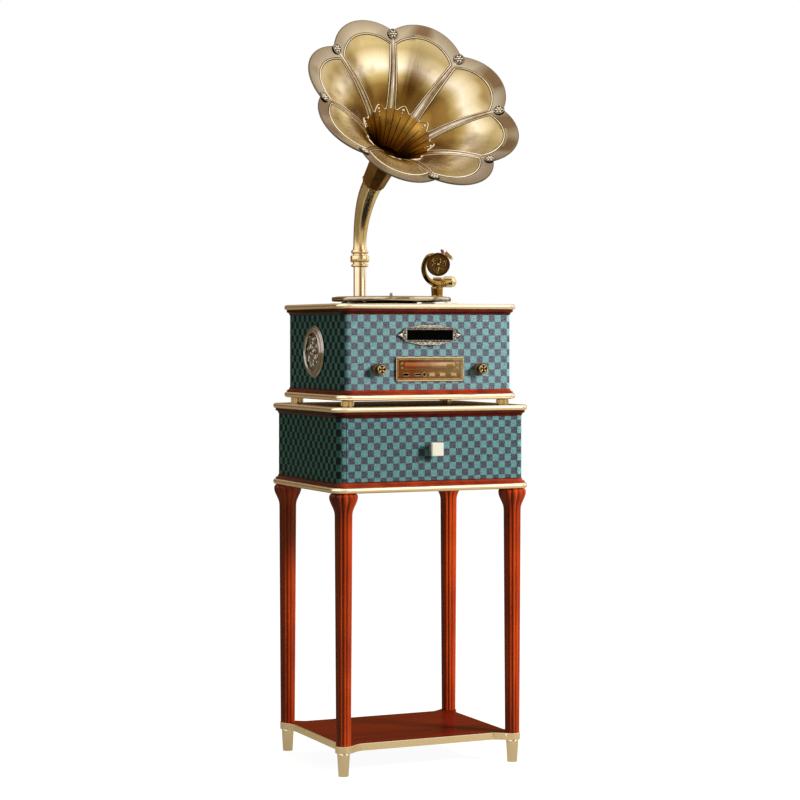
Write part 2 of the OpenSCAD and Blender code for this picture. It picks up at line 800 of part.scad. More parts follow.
module left_medallion() {
    translate([-upper_w / 2, 0, band_mid_z]) rotate([0, -90, 0]) rotate([0, 0, 90]) medallion();
}

module right_medallion() {
    translate([upper_w / 2, 0, band_mid_z]) rotate([0, 90, 0]) rotate([0, 0, 90]) medallion();
}

// Two drivers screwed to the inner faces of the side walls
module speaker_drivers() {
    flange_r = speaker_hole_r + 10;
    magnet_r = 22;
    color(black) for (side = [-1, 1]) translate([side * (upper_w / 2 - wall), 0, band_mid_z])
        rotate([0, -side * 90, 0]) rotate_extrude() polygon([[0, 20], [12, 20], [speaker_hole_r - 3, 0],
            [flange_r, 0], [flange_r, 4], [speaker_hole_r, 4], [magnet_r, 28], [magnet_r, 46], [0, 46]]);
}

// Turntable

platter_z = deck_z + platter_gap;
platter_top = platter_z + platter_t;
mat_sink = 1.5;
mat_top = platter_top - mat_sink + mat_t;
ring_h = 4.5;
shaft_r = 4;

module motor() {
    color(silver) translate([motor_x, motor_y, upper_trim_z - 26]) difference() {
        cylinder(h = 26 - seat, r = 18);
        translate([0, 0, 4]) cylinder(h = 30, r = 1.5 + run_fit);
    }
}

module motor_pulley() {
    color(brass) translate([motor_x, motor_y, 0]) {
        translate([0, 0, upper_trim_z - 20]) cylinder(h = deck_z + 3 - upper_trim_z + 20, r = 1.5);
        translate([0, 0, platter_z - ring_h - 1]) rotate_extrude() difference() {
            square([pulley_r, ring_h + 0.5]);
            translate([pulley_r + 5.7, 0.5 * ring_h + 0.25]) circle(6);
        }
    }
}

// Belt loop round two circles: both arcs, joined by their outer tangents
module belt_shape(extra) {
    big = drive_r + extra;
    small = pulley_r + extra;
    lean = acos((big - small) / motor_dist);
    big_arc = [for (i = [0 : 60]) lean + (360 - 2 * lean) * i / 60];
    small_arc = [for (i = [0 : 16]) -lean + 2 * lean * i / 16];
    polygon(concat(
        [for (a = big_arc) [big * cos(a), big * sin(a)]],
        [for (a = small_arc) [motor_dist + small * cos(a), small * sin(a)]]));
}

module drive_belt() {
    belt_t = 0.8;
    belt_h = 3;
    color(black) translate([platter_x, platter_y, platter_z - ring_h]) rotate([0, 0, motor_a])
        linear_extrude(belt_h) difference() {
            belt_shape(seat + belt_t);
            belt_shape(seat);
        }
}

module bearing_housing() {
    color(brass) translate([platter_x, platter_y, 0]) difference() {
        union() {
            translate([0, 0, upper_trim_z - 20]) cylinder(h = deck_z - upper_trim_z + 21, r = housing_r);
            translate([0, 0, deck_z]) cylinder(h = 3, r = 22);
        }
        translate([0, 0, upper_trim_z - 14]) cylinder(h = 60, r = shaft_r + run_fit);
    }
}

module spindle() {
    color(silver) translate([platter_x, platter_y, 0]) {
        translate([0, 0, upper_trim_z - 13]) cylinder(h = mat_top - upper_trim_z + 13, r = shaft_r);
        translate([0, 0, mat_top - 1]) cylinder(h = spindle_up, r = spindle_r);
        translate([0, 0, mat_top + spindle_up - 1]) cylinder(h = 1.5, r1 = spindle_r, r2 = spindle_r - 1.5);
    }
}

module platter() {
    color(pale_brass) translate([platter_x, platter_y, platter_z]) rotate_extrude($fn = 128) difference() {
        union() {
            translate([shaft_r + 0.02, 0]) square([platter_r - shaft_r - 1.02, platter_t]);
            translate([platter_r - 1, 1]) square([1, platter_t - 2]);
            translate([drive_r - 5, -ring_h]) square([5, ring_h + 1]);
        }
        translate([0, platter_t - mat_sink]) square([platter_r - 8, 5]);
        translate([drive_r + 8, -1]) square([platter_r - drive_r - 18, 4]);
    }
}

module platter_mat() {
    color(black) translate([platter_x, platter_y, platter_top - mat_sink])
        linear_extrude(mat_t) difference() {
            circle(platter_r - 8 - seat, $fn = 128);
            circle(shaft_r + seat);
        }
}

// Escutcheon that carries the arm's pivot and the speed lever
base_up = 8.5;
base_w = 80;
base_d = 76;
lever_x = arm_x + 9;
lever_y = arm_y - 30;

module tonearm_base() {
    color("#d8cfb2") translate([0, 0, deck_z]) difference() {
        translate([arm_x + 6, arm_y - 8, 0]) {
            linear_extrude(base_up - 2) rounded_rect(base_w, base_d, 12);
            linear_extrude(base_up) rounded_rect(base_w - 4, base_d - 4, 10);
        }
        translate([arm_x, arm_y, -1]) cylinder(h = base_up + 2, r = spigot_r + run_fit);
        translate([lever_x, lever_y, -1]) cylinder(h = base_up + 2, r = 3 + run_fit);
    }
}

module speed_lever() {
    color(black) translate([lever_x, lever_y, deck_z]) {
        translate([0, 0, seat]) cylinder(h = base_up + 3, r = 3);
        translate([0, 0, base_up + seat]) cylinder(h = 3, r = 6);
        translate([-2.5, -20, base_up + seat + 0.5]) cube([5, 20, 2.5]);
        translate([0, -20, base_up + seat + 0.5]) cylinder(h = 6.5, r = 4);
    }
}

hinge_z = deck_z + hinge_up;

// Local frame of the arm: origin on the post's axis at the lift hinge, reach towards -Y
module arm_frame() {
    translate([arm_x, arm_y, hinge_z]) rotate([0, 0, -arm_yaw]) children();
}

head_half = 10;
head_r = 11;
pin_r = 4;

disc_r = weight_r - 3;

// Turned column whose shoulder clears the arm's disc, with the hinge barrel on top
module tonearm_post() {
    foot_z = base_up + seat - hinge_up;
    top_z = -disc_r - 2 * seat;
    color(brass) arm_frame() difference() {
        union() {
            translate([0, 0, -hinge_up + seat]) cylinder(h = base_up + 1, r = spigot_r);
            rotate_extrude() polygon([[0, foot_z], [post_r + 1.5, foot_z], [post_r + 1.5, foot_z + 3],
                [post_r, foot_z + 5], [post_r - 1.5, foot_z + 16], [post_r - 0.5, top_z - 5],
                [post_r - 0.5, top_z - 2], [post_r - 3, top_z], [0, top_z]]);
            translate([0, 0, top_z - 1]) cylinder(h = 1 - top_z, r = head_half - 0.5);
            translate([-head_half, 0, 0]) rotate([0, 90, 0]) cylinder(h = 2 * head_half, r = head_r);
        }
        translate([-head_half - 1, 0, 0]) rotate([0, 90, 0])
            cylinder(h = 2 * head_half + 2, r = pin_r + run_fit);
    }
}

// The tube winds out of the weight, in front of the post, and round behind the sound box
curl_from = -60;
curl_sweep = 212;
curl_in = 0.74;
boss_r = 8;

// Radius of the coil: wide at the weight, steady round the sound box, then in to its back
function curl_radius(t) = t < curl_in
    ? curl_r + 14 * (1 - smooth(t / curl_in))
    : curl_r * (1 - pow((t - curl_in) / (1 - curl_in), 2));

function curl_point(t) = let (a = curl_from - curl_sweep * t, r = curl_radius(t))
    [r * cos(a), -12 - (arm_reach - 18) * t, head_up + r * sin(a)];

function curl_ring(t, n) = let (
        along = unit(curl_point(t + 0.01) - curl_point(t - 0.01)),
        side = unit(cross([0, 1, 0], along)),
        up = cross(along, side),
        r = tube_root_r + (tube_tip_r - tube_root_r) * t)
    [for (k = [0 : n - 1]) curl_point(t) + r * (cos(360 * k / n) * side + sin(360 * k / n) * up)];

weight_from = head_half + 6;
weight_len = 31;

module tonearm_tube() {
    color(brass) arm_frame() {
        skin([for (i = [0 : 23]) curl_ring(0.97 * i / 23, 10)]);
        translate([-head_half - 4, 0, 0]) rotate([0, 90, 0]) {
            cylinder(h = weight_from + head_half + 5, r = pin_r);
            cylinder(h = 4 - seat, r = pin_r + 3);
        }
        translate([head_half + seat, 0, 0]) rotate([0, 90, 0])
            cylinder(h = weight_from - head_half, r = disc_r);
        translate([weight_from, 0, 0]) rotate([0, 90, 0]) rotate_extrude() intersection() {
            union() {
                square([weight_r, weight_len - weight_r / 2]);
                translate([0, weight_len - weight_r]) circle(weight_r);
            }
            square([weight_r, weight_len]);
        }
        translate([0, -arm_reach + 14, head_up]) rotate([90, 0, 0]) cylinder(h = 14, r = boss_r);
        translate([0, -arm_reach + 2, head_up]) rotate([90, 0, 0]) cylinder(h = 8, r = 3);
    }
}

// Local frame of the sound box: z runs forward out of its face
module box_frame() {
    arm_frame() translate([0, -arm_reach - seat, head_up]) rotate([90, 0, 0]) children();
}

module soundbox() {
    rings = 3;
    color(antique) box_frame() difference() {
        union() {
            rotate_extrude() difference() {
                square([box_r, box_t]);
                translate([0, box_t - 3]) square([box_r - 4, 4]);
                translate([box_r + 2.5, box_t / 2]) circle(4);
            }
            for (k = [0 : rings - 1]) rotate([0, 0, 120 * k]) translate([9, 0, box_t - 3.5])
                linear_extrude(2.5) scroll(7.5, 2.6);
            translate([0, 0, box_t - 4]) cylinder(h = 4, r = 3.5);
        }
        translate([0, 0, -1]) cylinder(h = 8, r = 3 + run_fit);
    }
}

// Pickup on the sound box's rim, with its four pins at the lower end
module cartridge() {
    turn = 45;
    body_t = 8;
    tail = 11;
    color(black) box_frame() rotate([0, 0, turn]) translate([box_r + seat, 0, box_t / 2]) {
        translate([0, -tail, -body_t / 2]) cube([body_t, tail + 8.5, body_t]);
        for (k = [-1.5 : 1 : 1.5]) translate([body_t / 2 + k * 1.6, -tail, 0]) rotate([90, 0, 0])
            cylinder(h = 4, r = 0.5, $fn = 16);
    }
}

// Red guard with the needle at its end, on the cartridge's upper corner
module stylus() {
    lean = 71;
    root = box_r + 2 * seat;
    tip = root + 7.4;
    color("#c8202e") box_frame() rotate([0, 0, lean]) translate([0, 0, box_t / 2]) {
        translate([0, -4, -3]) linear_extrude(6)
            polygon([[root, 0], [tip - 2, 1.5], [tip, 3], [tip, 5], [root, 7]]);
        translate([tip - 1, 0, 0]) rotate([0, 90, 0]) cylinder(h = 3.5, r1 = 0.9, r2 = 0.4, $fn = 16);
    }
}

// Horn

collar_socket = 14;
spigot_up = 32;
pipe_top = deck_z + pipe_h;
elbow_z = pipe_top + 48;

module horn_pipe() {
    flange_r = 26;
    color(brass) translate([pipe_x, pipe_y, 0]) difference() {
        union() {
            translate([0, 0, deck_z]) cylinder(h = 4, r = flange_r);
            translate([0, 0, deck_z]) cylinder(h = 7, r = pipe_r + 3);
            translate([0, 0, deck_z]) cylinder(h = pipe_h, r = pipe_r);
            translate([0, 0, pipe_top - 1]) cylinder(h = spigot_up + 1, r = pipe_r - 1.5);
        }
        translate([0, 0, deck_z - 1]) cylinder(h = pipe_h + spigot_up + 3, r = pipe_r - pipe_wall - 1.5);
    }
}

// Frame at a share t of the elbow's bend: z along the bend, y outwards from the bend's centre
function elbow_ring(t, r, n) = let (a = elbow_turn * t)
    [for (k = [0 : n - 1]) let (c = r * cos(360 * k / n), s = r * sin(360 * k / n))
        [c, (elbow_bend + s) * cos(a) - elbow_bend, (elbow_bend + s) * sin(a)]];

module elbow_tube(low_r, high_r, from, to, n) {
    steps = 11;
    skin([for (i = [0 : steps]) let (t = from + (to - from) * i / steps)
        elbow_ring(t, low_r + (high_r - low_r) * smooth(t * 0.95), n)]);
}

module horn_elbow() {
    sides = 24;
    ring_at = [[0, 7, 20.5], [11.5, 17, 22.5], [32, 9.6, 20.5]];
    color(brass) translate([pipe_x, pipe_y, pipe_top + seat]) difference() {
        union() {
            cylinder(h = 47.8 - seat, r = pipe_r + 1.5);
            for (b = ring_at) translate([0, 0, b[0]]) rotate_extrude() {
                translate([0, b[1] * 0.15]) square([b[2], b[1] * 0.7]);
                square([b[2] - 1.2, b[1]]);
            }
            translate([0, 0, elbow_z - pipe_top - seat])
                elbow_tube(pipe_r + 0.5, elbow_end_r, -0.01, 1, sides);
            translate([0, -elbow_bend, elbow_z - pipe_top - seat]) rotate([elbow_turn, 0, 0])
                translate([0, elbow_bend, -0.5])
                    cylinder(h = elbow_tail + collar_socket + 0.5 - seat, r = elbow_end_r);
        }
        translate([0, 0, -1]) cylinder(h = spigot_up + 2.5, r = pipe_r - 1.5 + run_fit);
        translate([0, 0, 2]) cylinder(h = 47, r = pipe_r - pipe_wall - 1.5);
        translate([0, 0, elbow_z - pipe_top - seat])
            elbow_tube(pipe_r + 0.5 - pipe_wall, elbow_end_r - pipe_wall, -0.02, 1.0, sides);
        translate([0, -elbow_bend, elbow_z - pipe_top - seat]) rotate([elbow_turn, 0, 0])
            translate([0, elbow_bend, -2])
                cylinder(h = elbow_tail + collar_socket + 4, r = elbow_end_r - pipe_wall);
    }
}

// Frame at the collar's lower end: z runs along the horn's axis towards its mouth
module horn_frame() {
    translate([pipe_x, pipe_y - elbow_bend, elbow_z]) rotate([elbow_turn, 0, 0])
        translate([0, elbow_bend, elbow_tail]) children();
}

neck_lap = 10;

module horn_collar() {
    color(antique) horn_frame() difference() {
        union() {
            cylinder(h = collar_len, r1 = collar_low_r, r2 = collar_high_r, $fn = 8);
            translate([0, 0, collar_len - 1]) cylinder(h = neck_lap + 1, r = bell_neck_r - seat);
        }
        translate([0, 0, -1]) cylinder(h = collar_socket + 1, r = elbow_end_r + seat);
        translate([0, 0, -1]) cylinder(h = collar_len + neck_lap + 2, r = elbow_end_r - pipe_wall);
    }
}

// Bell: each column of points runs up the inside, round the rolled rim and down the outside
petal_sides = 12;
inner_rows = 12;
outer_rows = 9;
flare_len = bell_len - neck_lap;
flare_gain = (bell_mouth_r - bell_neck_r) / (exp(flare) - 1);

// Inner radius at a share s of the flare, its slope, and the share at which it reaches a radius
function flare_r(s) = bell_neck_r + flare_gain * (exp(flare * s) - 1);
function flare_slope(s) = flare_gain * flare * exp(flare * s) / flare_len;
function flare_share(r) = ln(1 + (r - bell_neck_r) / flare_gain) / flare;

// Each petal's edge is an arc through two notches and the petal's tip
petal_half = 180 / petals;
petal_bulge = petal_out + bell_mouth_r * (1 - cos(petal_half));
petal_arc_r = (pow(bell_mouth_r * sin(petal_half), 2) + pow(petal_bulge, 2)) / (2 * petal_bulge);
petal_arc_x = bell_mouth_r + petal_out - petal_arc_r;
function petal_edge(a) = petal_arc_x * cos(a) + sqrt(pow(petal_arc_r, 2) - pow(petal_arc_x * sin(a), 2));

// Point at angle a, share s of the flare and height off its inner face; u runs from -1 to 1 across a petal
function bell_point(a, s, u, off) = let (
        dish = petal_dish * (1 - u * u) * pow(max(0, s), 1.5),
        slope = flare_slope(s),
        size = sqrt(1 + slope * slope),
        r = flare_r(s) + dish + off / size)
    [r * cos(a), r * sin(a), collar_len + neck_lap + flare_len * s - off * slope / size];

function neck_point(a, r) = [r * cos(a), r * sin(a), collar_len + seat];

function bell_column(k) = let (
        u = 2 * (k % petal_sides) / petal_sides - 1,
        a = 90 + petal_half * 2 * k / petal_sides,
        e = flare_share(petal_edge(petal_half * u)),
        per_mm = 1 / (flare_len * sqrt(1 + pow(flare_slope(e), 2))))
    concat(
        [neck_point(a, bell_neck_r)],
        [for (i = [0 : inner_rows]) bell_point(a, e * i / inner_rows, u, 0)],
        [for (b = [45 : 45 : 270]) bell_point(a, e + rim_r * sin(b) * per_mm, u, rim_r * (1 - cos(b)))],
        [bell_point(a, e - rim_r * per_mm, u, sheet_t)],
        [for (i = [outer_rows - 1 : -1 : 0]) bell_point(a, e * i / outer_rows, u, sheet_t)],
        [neck_point(a, bell_neck_r + sheet_t)]);

module horn_bell() {
    n = petals * petal_sides;
    columns = [for (k = [0 : n - 1]) bell_column(k)];
    m = len(columns[0]);
    color(brass) horn_frame() rotate([0, 0, petal_turn]) polyhedron(
        points = [for (c = columns) each c],
        faces = [for (k = [0 : n - 1], i = [0 : m - 1]) let (k2 = (k + 1) % n, i2 = (i + 1) % m)
            each [[k * m + i, k2 * m + i2, k * m + i2], [k * m + i, k2 * m + i, k2 * m + i2]]]);
}

// Round rosettes riveted over the notches, on the inner face
module horn_rosettes() {
    lobes = 6;
    inset = 7;
    hollow = pow(rosette_r, 2) / (2 * bell_mouth_r);
    color(antique) horn_frame() for (k = [0 : petals - 1]) rotate([0, 0, 90 + petal_turn + 360 * k / petals])
        translate([bell_mouth_r, 0, collar_len + bell_len]) rotate([0, atan(flare_slope(1)) - 90, 0])
            translate([-inset, 0, seat + hollow / 2]) {
                cylinder(h = 2, r = rosette_r);
                for (j = [0 : lobes - 1]) rotate([0, 0, 360 * j / lobes])
                    translate([rosette_r * 0.56, 0, 1.5]) cylinder(h = 2, r = rosette_r * 0.25, $fn = 24);
                cylinder(h = 5, r = rosette_r * 0.27);
            }
}

foot_ferrules();
shelf_board();
shelf_edge_band();
leg_front_left();
leg_front_right();
leg_back_left();
leg_back_right();
leg_bolts();
lower_base_trim();
lower_base_cove();
lower_bottom_board();
lower_case();
lower_top_cove();
lower_top_trim();
lower_top_board();
drawer_runners();
drawer_front();
drawer_box();
drawer_knob();
cabinet_feet();
upper_base_trim();
upper_base_cove();
upper_bottom_board();
upper_case();
front_panel();
upper_top_cove();
upper_top_trim();
deck_board();
back_panel();
display_frame();
display_window();
control_plate();
button_source();
button_play();
button_next();
volume_knob();
tuning_knob();
control_board();
left_medallion();
right_medallion();
speaker_drivers();
motor();
motor_pulley();
drive_belt();
bearing_housing();
spindle();
platter();
platter_mat();
speed_lever();
tonearm_base();
tonearm_post();
tonearm_tube();
soundbox();
cartridge();
stylus();
horn_pipe();
horn_elbow();
horn_collar();
horn_bell();
horn_rosettes();
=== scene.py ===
import bpy
import math
from mathutils import Matrix, Vector


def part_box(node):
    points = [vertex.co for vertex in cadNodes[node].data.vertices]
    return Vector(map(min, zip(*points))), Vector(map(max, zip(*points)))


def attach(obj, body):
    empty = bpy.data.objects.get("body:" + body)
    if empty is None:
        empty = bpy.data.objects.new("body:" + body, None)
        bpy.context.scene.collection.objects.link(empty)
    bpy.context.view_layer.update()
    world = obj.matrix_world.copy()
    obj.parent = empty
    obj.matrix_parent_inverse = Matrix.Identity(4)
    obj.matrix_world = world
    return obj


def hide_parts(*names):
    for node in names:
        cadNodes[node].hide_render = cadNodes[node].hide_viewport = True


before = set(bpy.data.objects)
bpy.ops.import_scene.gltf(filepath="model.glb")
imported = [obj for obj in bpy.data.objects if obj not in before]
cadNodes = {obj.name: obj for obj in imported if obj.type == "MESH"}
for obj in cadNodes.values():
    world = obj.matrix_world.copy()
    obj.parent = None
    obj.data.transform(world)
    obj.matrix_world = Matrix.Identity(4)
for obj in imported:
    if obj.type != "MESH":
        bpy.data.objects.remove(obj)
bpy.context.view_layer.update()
scene = bpy.context.scene
mm = 0.001
print("frame loaded,", len(cadNodes), "nodes")


# Small helpers for node trees

def addNode(tree, kind, inputs=None, **settings):
    made = tree.nodes.new(kind)
    for key, value in settings.items():
        setattr(made, key, value)
    for key, value in (inputs or {}).items():
        if isinstance(value, bpy.types.NodeSocket):
            tree.links.new(value, made.inputs[key])
        else:
            made.inputs[key].default_value = value
    return made


def calc(tree, operation, a, b=0.0, clamp=False):
    return addNode(tree, "ShaderNodeMath", {0: a, 1: b}, operation=operation, use_clamp=clamp).outputs[0]


def blendColours(tree, factor, a, b, mode="MIX"):
    made = addNode(tree, "ShaderNodeMix", {0: factor, 6: a, 7: b}, data_type="RGBA", blend_type=mode)
    return made.outputs[2]


def remap(tree, value, low, high, toLow=0.0, toHigh=1.0):
    made = addNode(tree, "ShaderNodeMapRange", {"Value": value, "From Min": low, "From Max": high,
                                                "To Min": toLow, "To Max": toHigh})
    return made.outputs[0]


def softStep(tree, value, low, high):
    made = addNode(tree, "ShaderNodeMapRange", {"Value": value, "From Min": low, "From Max": high},
                   interpolation_type="SMOOTHSTEP")
    return made.outputs[0]


def colourRamp(tree, value, stops):
    made = addNode(tree, "ShaderNodeValToRGB", {"Fac": value})
    spots = made.color_ramp.elements
    for i, (place, code) in enumerate(stops):
        spot = spots[i] if i < 2 else spots.new(place)
        spot.position = place
        spot.color = tint(code)
    return made.outputs["Color"]


def noiseOf(tree, vector, scale, detail=3.0, roughness=0.5):
    return addNode(tree, "ShaderNodeTexNoise", {"Vector": vector, "Scale": scale, "Detail": detail,
                                                "Roughness": roughness}).outputs[0]


def stretched(tree, vector, scale):
    return addNode(tree, "ShaderNodeMapping", {"Vector": vector, "Scale": scale}).outputs[0]


def tint(code):
    # colour code to linear values
    values = [int(code[i:i + 2], 16) / 255 for i in (1, 3, 5)]
    return [v / 12.92 if v <= 0.04045 else ((v + 0.055) / 1.055) ** 2.4 for v in values] + [1.0]


def makeGroup(name, inputs, outputs):
    tree = bpy.data.node_groups.new(name, "ShaderNodeTree")
    for socketName, kind, default in inputs:
        socket = tree.interface.new_socket(socketName, in_out="INPUT", socket_type="NodeSocket" + kind)
        if default is not None:
            socket.default_value = default
    for socketName, kind in outputs:
        tree.interface.new_socket(socketName, in_out="OUTPUT", socket_type="NodeSocket" + kind)
    return tree, tree.nodes.new("NodeGroupInput").outputs, tree.nodes.new("NodeGroupOutput")


def finishGroup(tree, groupOut, results):
    for name, socket in results.items():
        tree.links.new(socket, groupOut.inputs[name])
    return tree


# Shared effects, one node group each

def buildTarnishAndShade():
    # clouds of tarnish, recesses darkened by ambient occlusion (partly tarnish, partly painted shade) and a
    # fine uneven polish
    tree, given, groupOut = makeGroup("tarnishAndShade", [
        ("Vector", "Vector", None), ("Bright", "Color", None), ("Dark", "Color", None),
        ("Cloud Scale", "Float", 20.0), ("Cloud Amount", "Float", 0.4), ("Recess", "Float", 0.5),
        ("Reach", "Float", 0.004), ("Polish", "Float", 0.2), ("Dullness", "Float", 0.2)],
        [("Color", "Color"), ("Roughness", "Float"), ("Height", "Float")])
    clouds = noiseOf(tree, given["Vector"], given["Cloud Scale"], 5.0, 0.6)
    clouds = calc(tree, "MULTIPLY", remap(tree, clouds, 0.38, 0.68), given["Cloud Amount"])
    # painted shade: the ambient occlusion darkens recesses, partly as tarnish and partly as the shade that
    # falls there
    hollow = addNode(tree, "ShaderNodeAmbientOcclusion", {"Distance": given["Reach"]}, samples=6)
    hollow = calc(tree, "SUBTRACT", 1.0, hollow.outputs["AO"])
    hollow = calc(tree, "MULTIPLY", remap(tree, hollow, 0.15, 0.6), given["Recess"])
    mask = calc(tree, "MAXIMUM", clouds, hollow, clamp=True)
    fine = noiseOf(tree, given["Vector"], calc(tree, "MULTIPLY", given["Cloud Scale"], 24.0), 2.0)
    dull = calc(tree, "ADD", mask, calc(tree, "MULTIPLY", fine, 0.5))
    dull = calc(tree, "MULTIPLY", dull, given["Dullness"])
    return finishGroup(tree, groupOut, {
        "Color": blendColours(tree, mask, given["Bright"], given["Dark"]),
        "Roughness": calc(tree, "ADD", given["Polish"], dull),
        "Height": fine})


def buildBrushing():
    # long fine scratches along the third axis of the vector
    tree, given, groupOut = makeGroup("brushing", [
        ("Vector", "Vector", None), ("Fineness", "Float", 400.0), ("Length", "Float", 6.0)],
        [("Height", "Float"), ("Streak", "Float")])
    across = addNode(tree, "ShaderNodeVectorMath", {0: given["Vector"], 1: (1, 1, 0)}, operation="MULTIPLY")
    along = addNode(tree, "ShaderNodeVectorMath", {0: given["Vector"], 1: (0, 0, 1)}, operation="MULTIPLY")
    across = addNode(tree, "ShaderNodeVectorMath", {0: across.outputs[0], "Scale": given["Fineness"]},
                     operation="SCALE")
    along = addNode(tree, "ShaderNodeVectorMath", {0: along.outputs[0], "Scale": given["Length"]},
                    operation="SCALE")
    both = addNode(tree, "ShaderNodeVectorMath", {0: across.outputs[0], 1: along.outputs[0]},
                   operation="ADD")
    fine = noiseOf(tree, both.outputs[0], 1.0, 2.0)
    broad = noiseOf(tree, both.outputs[0], 0.13, 2.0)
    return finishGroup(tree, groupOut, {
        "Height": fine,
        "Streak": remap(tree, calc(tree, "ADD", calc(tree, "MULTIPLY", fine, 0.4),
                                   calc(tree, "MULTIPLY", broad, 0.6)), 0.35, 0.65)})


def buildWrap():
    # turns a place on a rounded box into a distance round it and a height, as cloth is laid
    tree, given, groupOut = makeGroup("wrapRound", [
        ("Vector", "Vector", None), ("Flat Width", "Float", 0.2), ("Flat Depth", "Float", 0.15),
        ("Corner", "Float", 0.018)], [("Vector", "Vector"), ("Side", "Float")])
    place = addNode(tree, "ShaderNodeSeparateXYZ", {0: given["Vector"]}).outputs
    absX = calc(tree, "ABSOLUTE", place[0])
    absY = calc(tree, "ABSOLUTE", place[1])
    pastX = calc(tree, "MAXIMUM", calc(tree, "SUBTRACT", absX, given["Flat Width"]), 0.0)
    pastY = calc(tree, "MAXIMUM", calc(tree, "SUBTRACT", absY, given["Flat Depth"]), 0.0001)
    turn = calc(tree, "MULTIPLY", calc(tree, "ARCTAN2", pastX, pastY), given["Corner"])
    quarter = calc(tree, "MULTIPLY", given["Corner"], math.pi / 2)
    leftOver = calc(tree, "SUBTRACT", given["Flat Depth"], calc(tree, "MINIMUM", absY, given["Flat Depth"]))
    onSide = calc(tree, "GREATER_THAN", pastX, 0.0001)
    run = calc(tree, "ADD", calc(tree, "MINIMUM", absX, given["Flat Width"]), turn)
    run = calc(tree, "ADD", run, calc(tree, "MULTIPLY", leftOver, onSide))
    # behind the middle the run goes on, up to the seam at the middle of the back
    half = calc(tree, "ADD", calc(tree, "ADD", given["Flat Width"], quarter), given["Flat Depth"])
    toSeam = calc(tree, "MULTIPLY", calc(tree, "SUBTRACT", half, run), 2.0)
    run = calc(tree, "ADD", run, calc(tree, "MULTIPLY", calc(tree, "GREATER_THAN", place[1], 0.0), toSeam))
    run = calc(tree, "MULTIPLY", run, calc(tree, "SIGN", place[0]))
    side = calc(tree, "DIVIDE", turn, quarter, clamp=True)
    return finishGroup(tree, groupOut, {
        "Vector": addNode(tree, "ShaderNodeCombineXYZ", {0: run, 1: place[2]}).outputs[0], "Side": side})


def buildLeather():
    # two-tone checker with a pebbled grain and soft worn squares
    tree, given, groupOut = makeGroup("checkedLeather", [
        ("Cloth", "Vector", None), ("Vector", "Vector", None), ("Tile", "Float", 0.016),
        ("First", "Color", None), ("Second", "Color", None)],
        [("Color", "Color"), ("Roughness", "Float"), ("Height", "Float")])
    place = addNode(tree, "ShaderNodeSeparateXYZ", {0: given["Cloth"]}).outputs
    column = calc(tree, "FLOOR", calc(tree, "DIVIDE", place[0], given["Tile"]))
    row = calc(tree, "FLOOR", calc(tree, "DIVIDE", place[1], given["Tile"]))
    which = calc(tree, "FLOORED_MODULO", calc(tree, "ADD", column, row), 2.0)
    cells = addNode(tree, "ShaderNodeTexVoronoi", {"Vector": given["Vector"], "Scale": 950.0})
    pebble = remap(tree, cells.outputs["Distance"], 0.1, 0.75)
    speckle = noiseOf(tree, given["Vector"], 480.0, 1.0, 0.5)
    patch = noiseOf(tree, given["Vector"], 14.0, 3.0)
    spread = calc(tree, "ADD", 0.55, calc(tree, "MULTIPLY", which, 0.45))
    tone = calc(tree, "MULTIPLY", remap(tree, speckle, 0.38, 0.62, -0.8, 0.8), spread)
    tone = calc(tree, "ADD", calc(tree, "ADD", tone, 1.0), remap(tree, patch, 0.3, 0.7, -0.05, 0.05))
    base = blendColours(tree, which, given["First"], given["Second"])
    shade = addNode(tree, "ShaderNodeCombineColor", {0: tone, 1: tone, 2: tone}).outputs[0]
    return finishGroup(tree, groupOut, {
        "Color": blendColours(tree, 1.0, base, shade, "MULTIPLY"),
        "Roughness": calc(tree, "ADD", 0.42, calc(tree, "MULTIPLY", pebble, 0.16)),
        "Height": calc(tree, "SUBTRACT", 1.0, pebble)})


def buildWood():
    # straight figure along Z, with pores and slow changes of tone
    tree, given, groupOut = makeGroup("woodFigure", [
        ("Vector", "Vector", None), ("Light", "Color", None), ("Dark", "Color", None),
        ("Scale", "Float", 40.0)],
        [("Color", "Color"), ("Roughness", "Float"), ("Height", "Float")])
    long = stretched(tree, given["Vector"], (1, 1, 0.07))
    bands = noiseOf(tree, long, given["Scale"], 4.0, 0.55)
    pores = noiseOf(tree, long, calc(tree, "MULTIPLY", given["Scale"], 22.0), 2.0)
    slow = noiseOf(tree, given["Vector"], 6.0, 2.0)
    mask = calc(tree, "ADD", calc(tree, "MULTIPLY", remap(tree, bands, 0.35, 0.65), 0.6),
                calc(tree, "MULTIPLY", remap(tree, slow, 0.35, 0.65), 0.4))
    mask = calc(tree, "ADD", mask, calc(tree, "MULTIPLY", remap(tree, pores, 0.55, 0.7), 0.22), clamp=True)
    return finishGroup(tree, groupOut, {
        "Color": blendColours(tree, mask, given["Light"], given["Dark"]),
        "Roughness": calc(tree, "ADD", 0.2, calc(tree, "MULTIPLY", pores, 0.12)),
        "Height": bands})


tarnishAndShade = buildTarnishAndShade()
brushing = buildBrushing()
wrapRound = buildWrap()
checkedLeather = buildLeather()
woodFigure = buildWood()


# Materials

def startMaterial(name):
    material = bpy.data.materials.new(name)
    material.use_nodes = True
    tree = material.node_tree
    shader = tree.nodes["Principled BSDF"]
    place = addNode(tree, "ShaderNodeTexCoord").outputs["Object"]
    return material, tree, shader, place


def placeGroup(tree, group, inputs):
    made = tree.nodes.new("ShaderNodeGroup")
    made.node_tree = group
    for key, value in inputs.items():
        if isinstance(value, bpy.types.NodeSocket):
            tree.links.new(value, made.inputs[key])
        else:
            made.inputs[key].default_value = value
    return made.outputs


def bumpFrom(tree, shader, height, strength, distance):
    bump = addNode(tree, "ShaderNodeBump", {"Height": height, "Strength": strength, "Distance": distance})
    tree.links.new(bump.outputs[0], shader.inputs["Normal"])


